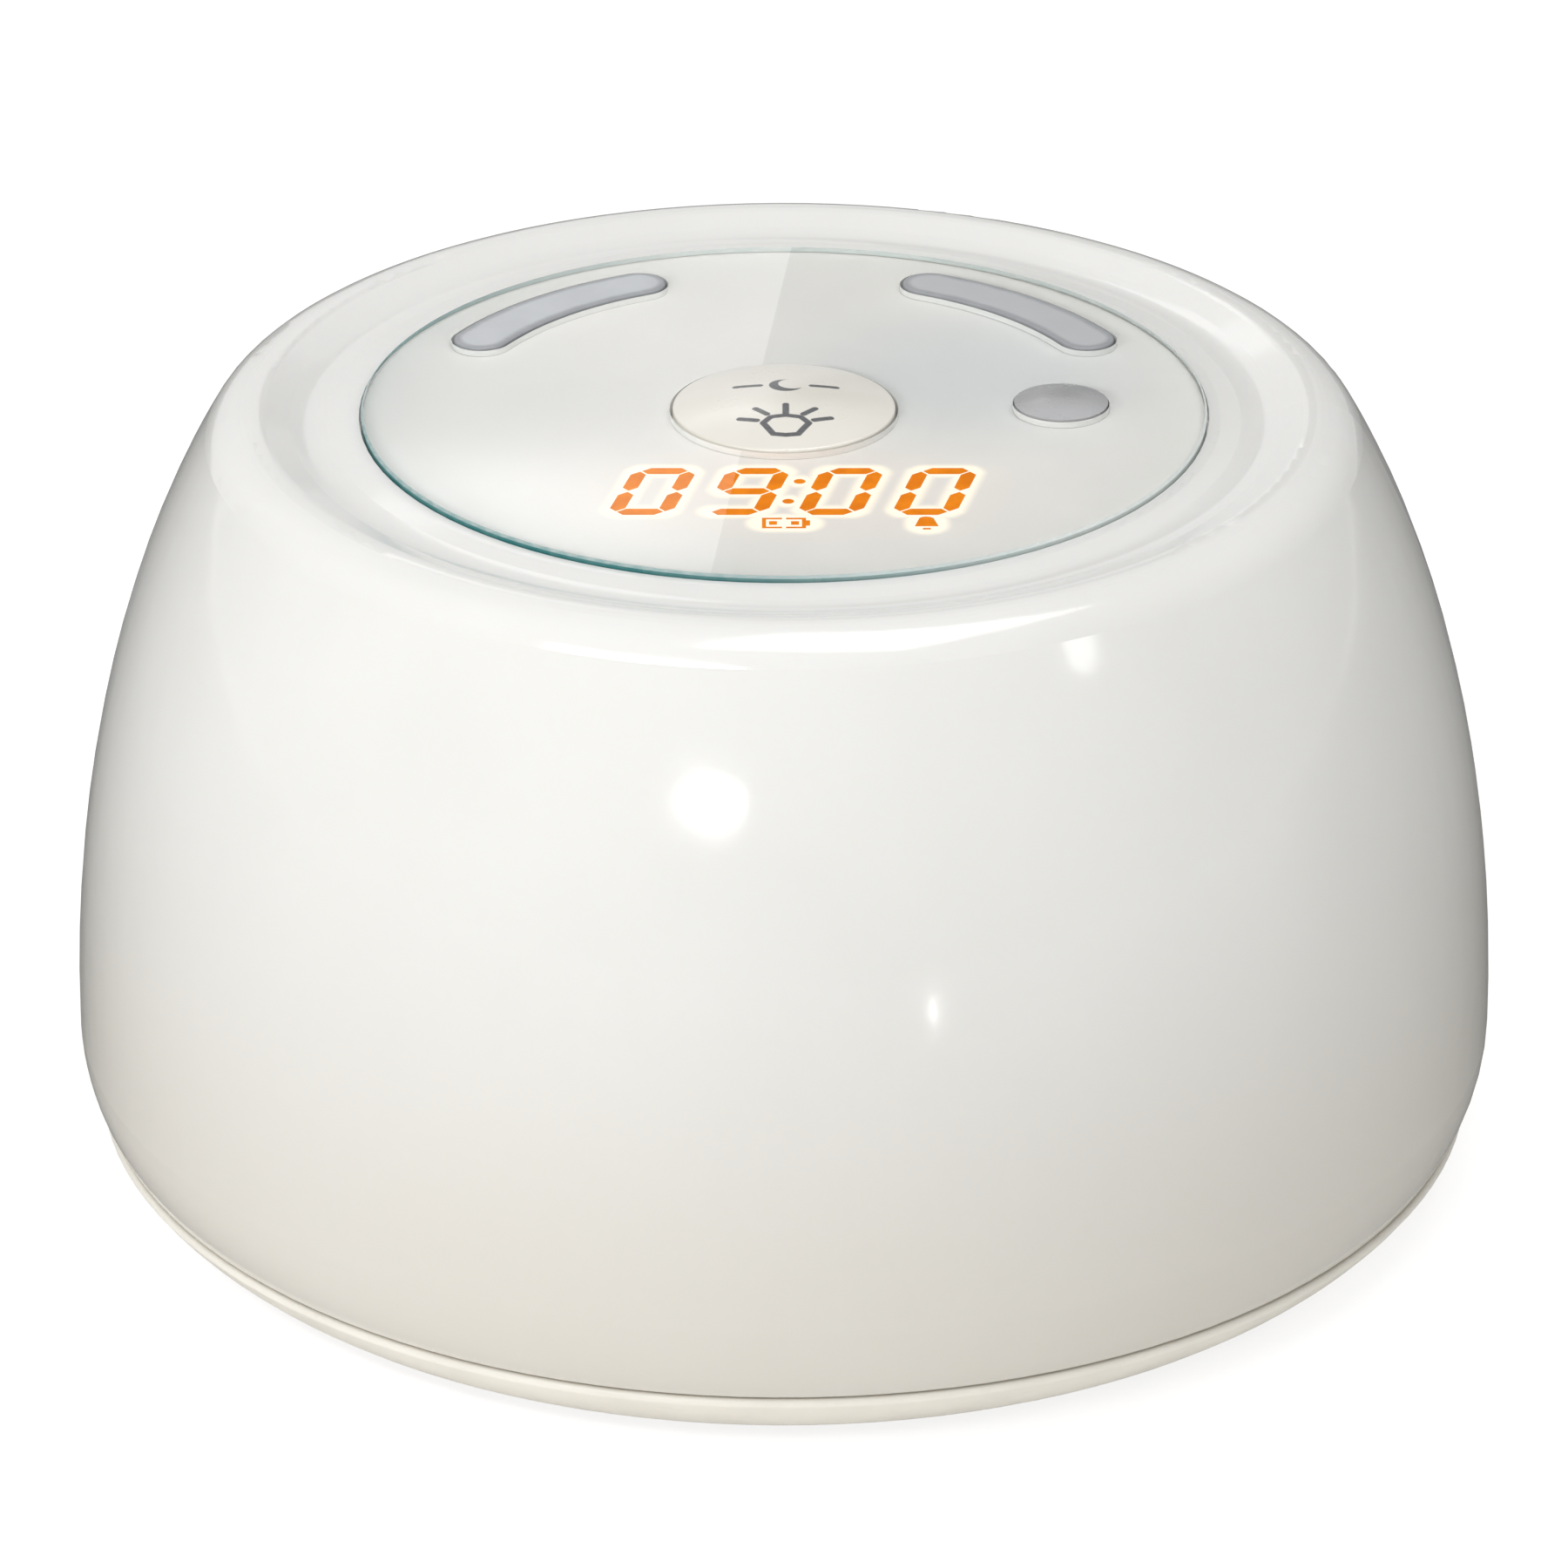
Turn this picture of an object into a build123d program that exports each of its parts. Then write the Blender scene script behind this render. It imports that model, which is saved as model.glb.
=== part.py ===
from build123d import *
import math
import os

os.makedirs("parts", exist_ok=True)

# Night light alarm clock, in millimetres: +Z is up, the floor is Z = 0, the display reads from -Y.

# Lamp body
BODY_DIAMETER = 150.0       # at the widest circle
WIDEST_RISE = 15.0          # base underside to the widest circle
BODY_RISE = 82.1            # base underside to the outer corner of the rim
CROWN_WIDTH = 3.9           # crest of the rim to its outer corner
CREST_RISE = 1.0            # crest above the outer corner
MOAT_WIDTH = 9.75           # lip to the crest
WALL_SWELL = 45.0           # radial half axis of the ellipse that shapes the wall
LOWER_ROUND = 16.35         # radius of the turn under the widest circle
SHELL_WALL = 2.5
RIM_ROUND = 6.0
CREST_ROUND = 3.5
MOAT_DEPTH = 1.8            # crest to the lowest circle of the moat
MOAT_SHARE = 0.45           # of the moat's width, from the lip to that circle
ROUND_SHARE = 0.45          # of a slope of the moat, taken by the round at its end

# Base and feet
FOOT_PROUD = 1.0            # foot below the base underside
FOOT_DIAMETER = 10.0
FOOT_RECESS = 0.8
FOOT_FIT = 0.1
FOOT_MARGIN = 1.5           # foot to the cell door and to the screw's counterbore
BASE_FLOOR = 3.0
BASE_PROUD = 0.8            # base band beyond the shell's outline
BASE_ROUND = 0.5
PARTING_RISE = 6.5          # base underside to the shell's lower edge
REVEAL = 0.3                # gap between base band and shell
SPIGOT_FIT = 0.25
SPIGOT_WALL = 1.8
SPIGOT_HEIGHT = 5.3         # above the shell's lower edge
COLUMN_RADIUS = 4.4
COLUMN_MARGIN = 0.7         # column to spigot
COLUMN_RISE = 0.6           # column top above the spigot
SHELL_BOSS_RADIUS = 3.6
SHELL_BOSS_HEIGHT = 14.0
RIB = 2.0
QUARTERS = (45, 135, 225, 315)

# Glass, film and the lip that holds them
GLASS_DIAMETER = 87.3
GLASS_THICKNESS = 2.0
GLASS_RISE = 0.5            # glass top above the outer corner of the rim
GLASS_PROUD = 0.6           # glass top above the lip round it
GLASS_FIT = 0.2
GLASS_BEVEL = 0.25
FILM_THICKNESS = 0.3
FILM_INSET = 0.2
GLUE_LINE = 0.05            # clear glue between the glass and the film
LIP_WIDTH = 0.9
SEAT_WIDTH = 2.4
SEAT_DEPTH = 4.0

# Push button and curved keys
SNOOZE_DIAMETER = 23.0
SNOOZE_Y = -1.3
SNOOZE_EDGE = 0.2           # button edge above the glass
SNOOZE_CROWN = 1.5          # dome height above that edge
SNOOZE_WALL = 1.6
SNOOZE_POST = 2.5           # radius of the post over the switch
KEY_MARGIN = 7.45           # glass edge to the centre line of the curved keys
KEY_WIDTH = 5.8
KEY_SWEEP = 36.0            # degrees between the centres of a key's round ends
KEY_AZIMUTH = 46.5          # degrees from +X to the middle of the right key
KEY_PROUD = 0.2
KEY_EDGE = 0.3
KEY_GAP = 0.3               # around the button and the keys
FLANGE_REACH = 0.7          # button flange beyond its hole
FLANGE_SWEEP = 8.0          # degrees that a key's flange is longer at each end
FLANGE_GAP = 0.1
PRESS_TRAVEL = 1.0
PRESS_SPARE = 0.3           # plunger left above its switch when pressed

# Sensor
SENSOR_MARGIN = 15.05       # glass edge to the middle of the lens
LENS_DIAMETER = 9.7
LENS_EDGE = 0.2
LENS_CROWN = 0.9
LENS_FIT = 0.15
LENS_WALL = 1.0
LENS_FLANGE = 1.4
SENSOR_CAN_RADIUS = 4.1
SENSOR_CAN_GAP = 0.2

# Display
DIGIT_HEIGHT = 11.8
DIGIT_WIDTH = 6.5
DIGIT_PITCH = 9.5
DIGIT_SLANT = 13.0          # degrees
DISPLAY_X = 1.0
DIGIT_Y = -21.1
SEGMENT_WIDTH = 1.55
SEGMENT_GAP = 0.15          # bar tip to the corner of its digit
COLON_SIZE = 1.2
COLON_SPREAD = 5.0
SYMBOL_DROP = 7.9           # digit centre to symbol centre
SYMBOL_SHIFT = -1.0         # symbols, from the middles of the display and its last digit
SYMBOL_LINE = 0.4
CELL_SYMBOL = (4.4, 2.6)
BELL_SYMBOL = (2.4, 3.2)
DISPLAY_BORDER = 0.8
DISPLAY_HEIGHT = 8.0
DISPLAY_FIT = 0.2

# Clock carrier, its cover and its board
PLATE_THICKNESS = 2.0
CARRIER_FIT = 0.3
CARRIER_WALL = 1.4
CARRIER_FLANGE = 2.0
FLANGE_DROP = 1.5           # board underside to the flange top
CLOCK_BOSS_RADIUS = 3.0
CLOCK_BOSS_MARGIN = 1.0
COVER_WALL = 1.6
COVER_DEPTH = 10.0
COVER_INSET = 0.8
BOARD_THICKNESS = 1.6
BOARD_FIT = 0.4
STANDOFF_RADIUS = 2.4
STANDOFF_MARGIN = 4.7       # carrier wall to the standoffs
STANDOFF_AZIMUTHS = (-27, 90, 207)
SWITCH_SIZE = 6.0
SWITCH_HEIGHT = 3.5
SWITCH_FLOOR = 0.7
PLUNGER_RADIUS = 1.75
PLUNGER_GAP = 0.3
CHIP_SIZE = 12.0
CHIP_HEIGHT = 1.6
CHIP_PLACE = (2.0, 8.0)
CRYSTAL_RADIUS = 1.6
CRYSTAL_HEIGHT = 6.0
CRYSTAL_PLACE = (14.0, 2.0)
CAPACITOR_RADIUS = 3.2
CAPACITOR_HEIGHT = 8.0
CAPACITOR_PLACE = (16.0, 14.0)
EDGE_BREAK = 0.5            # rounds and bevels of the small parts

# Screws
PILOT_FIT = 0.05
HEAD_FIT = 0.4
CROSS_WIDTH = 0.5
SMALL_SCREW = {"head": 1.9, "height": 1.4, "shank": 1.0}
LARGE_SCREW = {"head": 2.6, "height": 1.8, "shank": 1.3}
SHANK_BITE = 4.0            # small screw into its boss
BASE_BITE = 9.0             # base screw into its boss
TIP_ROOM = 1.0              # boss hole beyond the screw's tip
COUNTERBORE_DEPTH = 5.0

# Cells and their well
CELL_DIAMETER = 14.5
CELL_LENGTH = 50.5
CELL_COUNT = 3
CELL_GAP = 0.5
CELL_NUB = (2.75, 1.0)      # radius and length of the plus end's nub
CELL_ROUND = 0.8
CELL_LIFT = 0.3             # cells clear of the door and the roof
CONTACT_DEPTH = 2.0         # well end to cell end
CONTACT_SHEET = 0.4
CONTACT_HEIGHT = 9.0
CONTACT_FIT = 0.1
DIMPLE_RADIUS = 2.6
TAB_WIDTH = 3.0
TAB_REACH = 1.5
WELL_WALL = 1.6
WELL_Y = -14.0
DOOR_THICKNESS = 2.0
DOOR_LEDGE = 1.2
DOOR_FIT = 0.3
DOOR_ROUND = 3.0
LATCH_WIDTH = 12.0
LATCH_LENGTH = 9.0
LATCH_SLIT = 0.8
GRIP_GROOVES = 4
GRIP_LENGTH = 8.8
GRIP_DEPTH = 0.4

# Speaker
SPEAKER_DIAMETER = 36.0
SPEAKER_FIT = 0.2
SPEAKER_GAP = 5.0           # cell well to the speaker's seat
SPEAKER_SEAT_WALL = 1.6
SPEAKER_SEAT_HEIGHT = 5.0
SPEAKER_RIM = 1.2
SPEAKER_RIM_WIDTH = 2.5
SPEAKER_DEPTH = 8.0
SPEAKER_SHEET = 0.8
SPEAKER_BACK = 10.2         # radius of the frame's back plate
MAGNET_RADIUS = 8.0
MAGNET_HEIGHT = 5.0
CONE_SHEET = 0.6
CONE_NECK = 4.2
CONE_RISE = 5.0
GRILLE_HOLE = 1.1
GRILLE_STEP = 4.4
GRILLE_RINGS = (6, 12)      # holes in each ring around the middle one

# Night light board
LAMP_MARGIN = 4.0           # board edge to the shell bosses
LAMP_LIFT = 4.0             # board above the cell well
POST_RADIUS = 3.2
POST_INSET = 4.5            # post centre in from the board's edge
POST_AZIMUTHS = (15, 165, 195, 345)
LED_COUNT = 12
LED_SIZE = 5.0
LED_HEIGHT = 1.6
LED_WINDOW = (1.9, 0.3)
LED_INSET = 13.0            # LED centre in from the board's edge

# Leads and sockets
SOCKET = (10.0, 5.0, 6.0)
LEAD_PLACE = (-18.0, 10.0)
LEAD_RADIUS = 1.5
LEAD_RUN = 6.0
LEAD_BOW = 6.0
LEAD_HOLE = 4.5
WIRE_RADIUS = 0.6
WIRE_RUN = 9.0
BEND_SHARE = 0.45           # of the shorter run, taken by each bend

# Radii
BODY_R = BODY_DIAMETER / 2
GLASS_R = GLASS_DIAMETER / 2
POCKET_R = GLASS_R + GLASS_FIT
LIP_R = POCKET_R + LIP_WIDTH
MOAT_R = LIP_R + MOAT_WIDTH * MOAT_SHARE
CREST_R = LIP_R + MOAT_WIDTH
RIM_R = CREST_R + CROWN_WIDTH
OPENING_R = POCKET_R - SEAT_WIDTH
SNOOZE_R = SNOOZE_DIAMETER / 2
LENS_R = LENS_DIAMETER / 2
FOOT_R = FOOT_DIAMETER / 2
KEY_RADIUS = GLASS_R - KEY_MARGIN
SENSOR_X = GLASS_R - SENSOR_MARGIN
SPEAKER_R = SPEAKER_DIAMETER / 2

# Heights above the floor
BASE_Z = FOOT_PROUD
FLOOR_Z = BASE_Z + BASE_FLOOR
WIDEST_Z = BASE_Z + WIDEST_RISE
PARTING_Z = BASE_Z + PARTING_RISE
BAND_Z = PARTING_Z - REVEAL
SPIGOT_Z = PARTING_Z + SPIGOT_HEIGHT
COLUMN_Z = SPIGOT_Z + COLUMN_RISE
RIM_Z = BASE_Z + BODY_RISE
CREST_Z = RIM_Z + CREST_RISE
MOAT_Z = CREST_Z - MOAT_DEPTH
GLASS_Z = RIM_Z + GLASS_RISE
LIP_Z = GLASS_Z - GLASS_PROUD
UNDER_GLASS_Z = GLASS_Z - GLASS_THICKNESS
FILM_Z = UNDER_GLASS_Z - GLUE_LINE
SEAT_Z = FILM_Z - FILM_THICKNESS
PLATE_Z = SEAT_Z - PLATE_THICKNESS
BOARD_Z = SEAT_Z - DISPLAY_HEIGHT
BOARD_UNDER = BOARD_Z - BOARD_THICKNESS
CARRIER_Z = BOARD_UNDER - FLANGE_DROP
CARRIER_UNDER = CARRIER_Z - CARRIER_FLANGE
COVER_UNDER = CARRIER_UNDER - CARRIER_FLANGE
SWITCH_Z = BOARD_Z + SWITCH_HEIGHT
PLUNGER_Z = SWITCH_Z + PRESS_TRAVEL + PRESS_SPARE
FLANGE_Z = PLATE_Z - FLANGE_GAP

# Shared curves of the shell and the base
LOWER_CENTRE = (BODY_R - LOWER_ROUND, WIDEST_Z)
WALL_CENTRE = (BODY_R - WALL_SWELL, WIDEST_Z)
RIM_TURN = math.acos(1 - (BODY_R - RIM_R) / WALL_SWELL)
WALL_REACH = (RIM_Z - WIDEST_Z) / math.sin(RIM_TURN)
INNER_REACH = WALL_REACH - SHELL_WALL
INNER_RIM_TURN = math.asin((RIM_Z - SHELL_WALL - WIDEST_Z) / INNER_REACH)


def lower_turn(radius, height):
    """Degrees below the widest circle at which the lower turn meets a height."""
    return math.degrees(math.asin((WIDEST_Z - height) / radius))


def around(radius, azimuths):
    """Places on a circle about the Z axis."""
    turns = [math.radians(azimuth) for azimuth in azimuths]
    return [(radius * math.cos(turn), radius * math.sin(turn)) for turn in turns]


INNER_ROUND = LOWER_ROUND - SHELL_WALL
PARTING_TURN = math.radians(lower_turn(INNER_ROUND, PARTING_Z))
SPIGOT_R = LOWER_CENTRE[0] + INNER_ROUND * math.cos(PARTING_TURN) - SPIGOT_FIT
COLUMN_CIRCLE = SPIGOT_R - SPIGOT_WALL - COLUMN_MARGIN - COLUMN_RADIUS
COLUMNS = around(COLUMN_CIRCLE, QUARTERS)
SMALL_PILOT = SMALL_SCREW["shank"] + PILOT_FIT
LARGE_PILOT = LARGE_SCREW["shank"] + PILOT_FIT
COUNTERBORE_R = LARGE_SCREW["head"] + HEAD_FIT
RIB_END = BODY_R - SHELL_WALL / 2
CLOCK_CIRCLE = LIP_R + CLOCK_BOSS_RADIUS
CLOCK_BOSSES = around(CLOCK_CIRCLE, QUARTERS)
CARRIER_R = OPENING_R - CARRIER_FIT
CARRIER_INNER = CARRIER_R - CARRIER_WALL
STANDOFFS = around(CARRIER_INNER - STANDOFF_MARGIN - STANDOFF_RADIUS, STANDOFF_AZIMUTHS)
CARRIER_FLANGE_R = CLOCK_CIRCLE + CLOCK_BOSS_RADIUS + CLOCK_BOSS_MARGIN
COVER_R = CLOCK_CIRCLE - CLOCK_BOSS_RADIUS - COVER_INSET

# Cell well, speaker and lamp board places
CELL_PITCH = CELL_DIAMETER + CELL_GAP
WELL_LENGTH = CELL_LENGTH + 2 * CONTACT_DEPTH
WELL_WIDTH = CELL_COUNT * CELL_PITCH
DOOR_Z = BASE_Z + DOOR_THICKNESS
CELL_Z = DOOR_Z + CELL_LIFT + CELL_DIAMETER / 2
ROOF_UNDER = CELL_Z + CELL_DIAMETER / 2 + CELL_LIFT
WELL_Z = ROOF_UNDER + WELL_WALL
CELL_ROWS = [WELL_Y + (row - (CELL_COUNT - 1) / 2) * CELL_PITCH for row in range(CELL_COUNT)]
TAB_ROWS = {1: CELL_ROWS[0], -1: CELL_ROWS[-1]}
DOOR_LENGTH = WELL_LENGTH + 2 * DOOR_LEDGE
DOOR_WIDTH = WELL_WIDTH + 2 * DOOR_LEDGE
FOOT_X = DOOR_LENGTH / 2 + DOOR_FIT + FOOT_MARGIN + FOOT_R
FOOT_REACH = COUNTERBORE_R + FOOT_MARGIN + FOOT_R
FEET = [(math.copysign(FOOT_X, x), y - math.copysign(FOOT_REACH, y)) for x, y in COLUMNS]
SPEAKER_SEAT_R = SPEAKER_R + SPEAKER_FIT
SPEAKER_Y = WELL_Y + WELL_WIDTH / 2 + WELL_WALL + SPEAKER_GAP + SPEAKER_SEAT_R + SPEAKER_SEAT_WALL
LAMP_Z = WELL_Z + LAMP_LIFT
LAMP_TOP = LAMP_Z + BOARD_THICKNESS
LAMP_R = COLUMN_CIRCLE - SHELL_BOSS_RADIUS - LAMP_MARGIN
POSTS = around(LAMP_R - POST_INSET, POST_AZIMUTHS)

# Centre lines of the two curved keys
KEY_MIDDLES = {"left": 180 - KEY_AZIMUTH, "right": KEY_AZIMUTH}


def key_line(side, sweep):
    """Centre line of one curved key."""
    return CenterArc((0, 0), KEY_RADIUS, KEY_MIDDLES[side] - sweep / 2, sweep)


KEY_LINES = {side: key_line(side, KEY_SWEEP) for side in KEY_MIDDLES}
KEY_PLACES = {side: around(KEY_RADIUS, [KEY_MIDDLES[side]])[0] for side in KEY_MIDDLES}


def write(piece, name):
    """Label a finished piece and write it to its own file."""
    piece.part.label = name
    export_step(piece.part, f"parts/{name}.step")


def write_screws(name, places, seat_z, upward, length, size):
    """Cross-head screws whose heads bear at one height, as one group."""
    side = 1 if upward else -1
    with BuildPart() as screws:
        with BuildSketch(Plane.XY.offset(seat_z)):
            with Locations(*places):
                Circle(size["head"])
        extrude(amount=-side * size["height"])
        head_end = screws.faces().group_by(Axis.Z)[0 if upward else -1]
        fillet(head_end.edges(), size["height"] / 2)
        with BuildSketch(Plane.XY.offset(seat_z)):
            with Locations(*places):
                Circle(size["shank"])
        extrude(amount=side * length)
        with BuildSketch(Plane.XY.offset(seat_z - side * size["height"])):
            with Locations(*places):
                Rectangle(size["head"], CROSS_WIDTH)
                Rectangle(CROSS_WIDTH, size["head"])
        extrude(amount=side * size["height"] / 2, mode=Mode.SUBTRACT)
    write(screws, name)


def bend_radii(route):
    """One bend radius for each corner of a lead, as large as its shorter run allows."""
    points = [Vector(point) for point in route]
    radii = []
    for before, corner, after in zip(points, points[1:], points[2:]):
        shorter = min((corner - before).length, (after - corner).length)
        turn = math.radians((corner - before).get_angle(after - corner))
        radii.append(BEND_SHARE * shorter / math.tan(turn / 2))
    return radii


def write_leads(name, routes, radius):
    """Round leads along straight runs joined by tangent bends, as one group."""
    with BuildPart() as leads:
        for route in routes:
            radii = bend_radii(route)
            with BuildLine() as path:
                FilletPolyline(*route, radius=radii)
            with BuildSketch(Plane(origin=path.line @ 0, z_dir=path.line % 0)):
                Circle(radius)
            sweep()
    write(leads, name)


def face_openings(mode):
    """Openings that the glass, the film and the carrier plate share, in the open sketch."""
    with Locations((0, SNOOZE_Y)):
        Circle(SNOOZE_R + KEY_GAP, mode=mode)
    with Locations((SENSOR_X, 0)):
        Circle(LENS_R + LENS_FIT, mode=mode)
    for line in KEY_LINES.values():
        SlotArc(line, KEY_WIDTH + 2 * KEY_GAP, mode=mode)


def upright_plane(x, y):
    """Plane through a vertical axis, for profiles that are revolved about it."""
    return Plane(origin=(x, y, 0), x_dir=(1, 0, 0), z_dir=(0, -1, 0))


def upright_axis(x, y):
    """Vertical axis through a place."""
    return Axis((x, y, 0), (0, 0, 1))


def dome(radius, edge_z, crown):
    """Arc of a low dome from its edge to the axis, in the open line."""
    ball = (radius ** 2 + crown ** 2) / (2 * crown)
    spread = math.degrees(math.asin(radius / ball))
    return CenterArc((0, edge_z + crown - ball), ball, 90 - spread, spread)


def slanted(x, y):
    """A point of the display, leaned over by the slant of the digits."""
    return (x + (y - DIGIT_Y) * math.tan(math.radians(DIGIT_SLANT)), y)


def bar(x, y, length, upright):
    """One six-sided bar of a digit in the open sketch."""
    end = length / 2
    half = SEGMENT_WIDTH / 2
    upper = [(end, 0), (end - half, half), (half - end, half)]
    outline = upper + [(-along, -across) for along, across in upper]
    if upright:
        outline = [(-across, along) for along, across in outline]
    Polygon(*[slanted(x + u, y + v) for u, v in outline], align=None)


def digit(x, lit):
    """The lit bars of one seven-bar digit in the open sketch."""
    wide = DIGIT_WIDTH - SEGMENT_WIDTH
    half_tall = (DIGIT_HEIGHT - SEGMENT_WIDTH) / 2
    flat = wide - 2 * SEGMENT_GAP
    tall = half_tall - 2 * SEGMENT_GAP
    places = {
        "top": (0, half_tall, flat, False),
        "middle": (0, 0, flat, False),
        "bottom": (0, -half_tall, flat, False),
        "upper_left": (-wide / 2, half_tall / 2, tall, True),
        "upper_right": (wide / 2, half_tall / 2, tall, True),
        "lower_left": (-wide / 2, -half_tall / 2, tall, True),
        "lower_right": (wide / 2, -half_tall / 2, tall, True),
    }
    for name in lit:
        across, along, length, upright = places[name]
        bar(x + across, DIGIT_Y + along, length, upright)


def cell_symbol(x, y):
    """A battery outline in two halves, with a charge mark in each, in the open sketch."""
    length, height = CELL_SYMBOL
    inner = height - 2 * SYMBOL_LINE
    with Locations((x, y)):
        Rectangle(length, height)
        Rectangle(length - 2 * SYMBOL_LINE, inner, mode=Mode.SUBTRACT)
        Rectangle(SYMBOL_LINE, height, mode=Mode.SUBTRACT)
    with Locations((x + (length + SYMBOL_LINE) / 2, y)):
        Rectangle(SYMBOL_LINE, height / 2)
    with Locations((x - length / 4, y), (x + length / 4, y)):
        Rectangle(2 * SYMBOL_LINE, inner / 2)


def bell_symbol(x, y):
    """A bell with its clapper in the open sketch."""
    width, height = BELL_SYMBOL
    crown = width / 3
    shoulder = y + height / 2 - crown
    lip = y - height / 2 + 2 * SYMBOL_LINE
    with Locations((x, shoulder)):
        Circle(crown)
    skirt = [(x - width / 2, lip), (x + width / 2, lip), (x + crown, shoulder), (x - crown, shoulder)]
    Polygon(*skirt, align=None)
    with Locations((x, y - height / 2 + SYMBOL_LINE / 2)):
        Rectangle(2 * SYMBOL_LINE, SYMBOL_LINE)


ZERO = ("top", "bottom", "upper_left", "upper_right", "lower_left", "lower_right")
NINE = ("top", "middle", "bottom", "upper_left", "upper_right", "lower_right")
DIGITS = (ZERO, NINE, ZERO, ZERO)
DIGIT_PLACES = [DISPLAY_X + (place - (len(DIGITS) - 1) / 2) * DIGIT_PITCH for place in range(len(DIGITS))]


def lit_face():
    """Every lit window of the display in the open sketch."""
    for x, lit in zip(DIGIT_PLACES, DIGITS):
        digit(x, lit)
    for rise in (COLON_SPREAD / 2, -COLON_SPREAD / 2):
        with Locations(slanted(DISPLAY_X, DIGIT_Y + rise)):
            Circle(COLON_SIZE / 2)
    cell_symbol(DISPLAY_X + SYMBOL_SHIFT, DIGIT_Y - SYMBOL_DROP)
    bell_symbol(DIGIT_PLACES[-1] + SYMBOL_SHIFT, DIGIT_Y - SYMBOL_DROP)


def corner_round(length, turn):
    """Radius of the round that takes its share of the length beside a corner."""
    return ROUND_SHARE * length / math.tan(turn / 2)


# Diffuser shell: wall, rim, moat, lip and the glass seat
outer_slope = math.atan2(MOAT_DEPTH, CREST_R - MOAT_R)
inner_slope = math.atan2(LIP_Z - MOAT_Z, MOAT_R - LIP_R)
slope_length = min(CREST_R - MOAT_R, MOAT_R - LIP_R)
slope_shift = SHELL_WALL * math.tan(outer_slope / 2)
rounds = {
    (RIM_R, RIM_Z): RIM_ROUND,
    (CREST_R, CREST_Z): CREST_ROUND,
    (MOAT_R, MOAT_Z): corner_round(slope_length, outer_slope + inner_slope),
    (LIP_R, LIP_Z): corner_round(LIP_WIDTH, inner_slope),
}
with BuildPart() as diffuser_shell:
    with BuildSketch(Plane.XZ) as shell_profile:
        with BuildLine():
            outer_turn = lower_turn(LOWER_ROUND, PARTING_Z)
            inner_turn = lower_turn(INNER_ROUND, PARTING_Z)
            outer_low = CenterArc(LOWER_CENTRE, LOWER_ROUND, -outer_turn, outer_turn)
            outer_wall = EllipticalCenterArc(
                WALL_CENTRE, WALL_SWELL, WALL_REACH, arc_size=math.degrees(RIM_TURN)
            )
            inner_low = CenterArc(LOWER_CENTRE, INNER_ROUND, -inner_turn, inner_turn)
            inner_wall = EllipticalCenterArc(
                WALL_CENTRE, WALL_SWELL - SHELL_WALL, INNER_REACH, arc_size=math.degrees(INNER_RIM_TURN)
            )
            Polyline(
                outer_wall @ 1,
                (CREST_R, CREST_Z),
                (MOAT_R, MOAT_Z),
                (LIP_R, LIP_Z),
                (POCKET_R, LIP_Z),
                (POCKET_R, SEAT_Z),
                (OPENING_R, SEAT_Z),
                (OPENING_R, SEAT_Z - SEAT_DEPTH),
                (LIP_R, SEAT_Z - SEAT_DEPTH),
                (LIP_R, MOAT_Z - SHELL_WALL),
                (MOAT_R + slope_shift, MOAT_Z - SHELL_WALL),
                (CREST_R + slope_shift, CREST_Z - SHELL_WALL),
                inner_wall @ 1,
            )
            Line(inner_low @ 0, outer_low @ 0)
        make_face()
        for corner, radius in rounds.items():
            fillet(shell_profile.vertices().sort_by_distance(corner)[0], radius)
    revolve(axis=Axis.Z)
    with BuildSketch(Plane.XY.offset(CARRIER_Z)):
        with Locations(*CLOCK_BOSSES):
            Circle(CLOCK_BOSS_RADIUS)
    extrude(amount=MOAT_Z - SHELL_WALL / 2 - CARRIER_Z)
    with BuildSketch(Plane.XY.offset(COLUMN_Z)):
        with Locations(*COLUMNS):
            Circle(SHELL_BOSS_RADIUS)
        with PolarLocations((COLUMN_CIRCLE + RIB_END) / 2, len(QUARTERS), QUARTERS[0]):
            Rectangle(RIB_END - COLUMN_CIRCLE, RIB)
    extrude(amount=SHELL_BOSS_HEIGHT)
    with Locations(*[(x, y, CARRIER_Z) for x, y in CLOCK_BOSSES]):
        Hole(SMALL_PILOT, depth=SHANK_BITE + TIP_ROOM)
    with Locations(*[(x, y, COLUMN_Z) for x, y in COLUMNS]):
        Hole(LARGE_PILOT, depth=BASE_BITE + TIP_ROOM)
write(diffuser_shell, "diffuser_shell")

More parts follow.
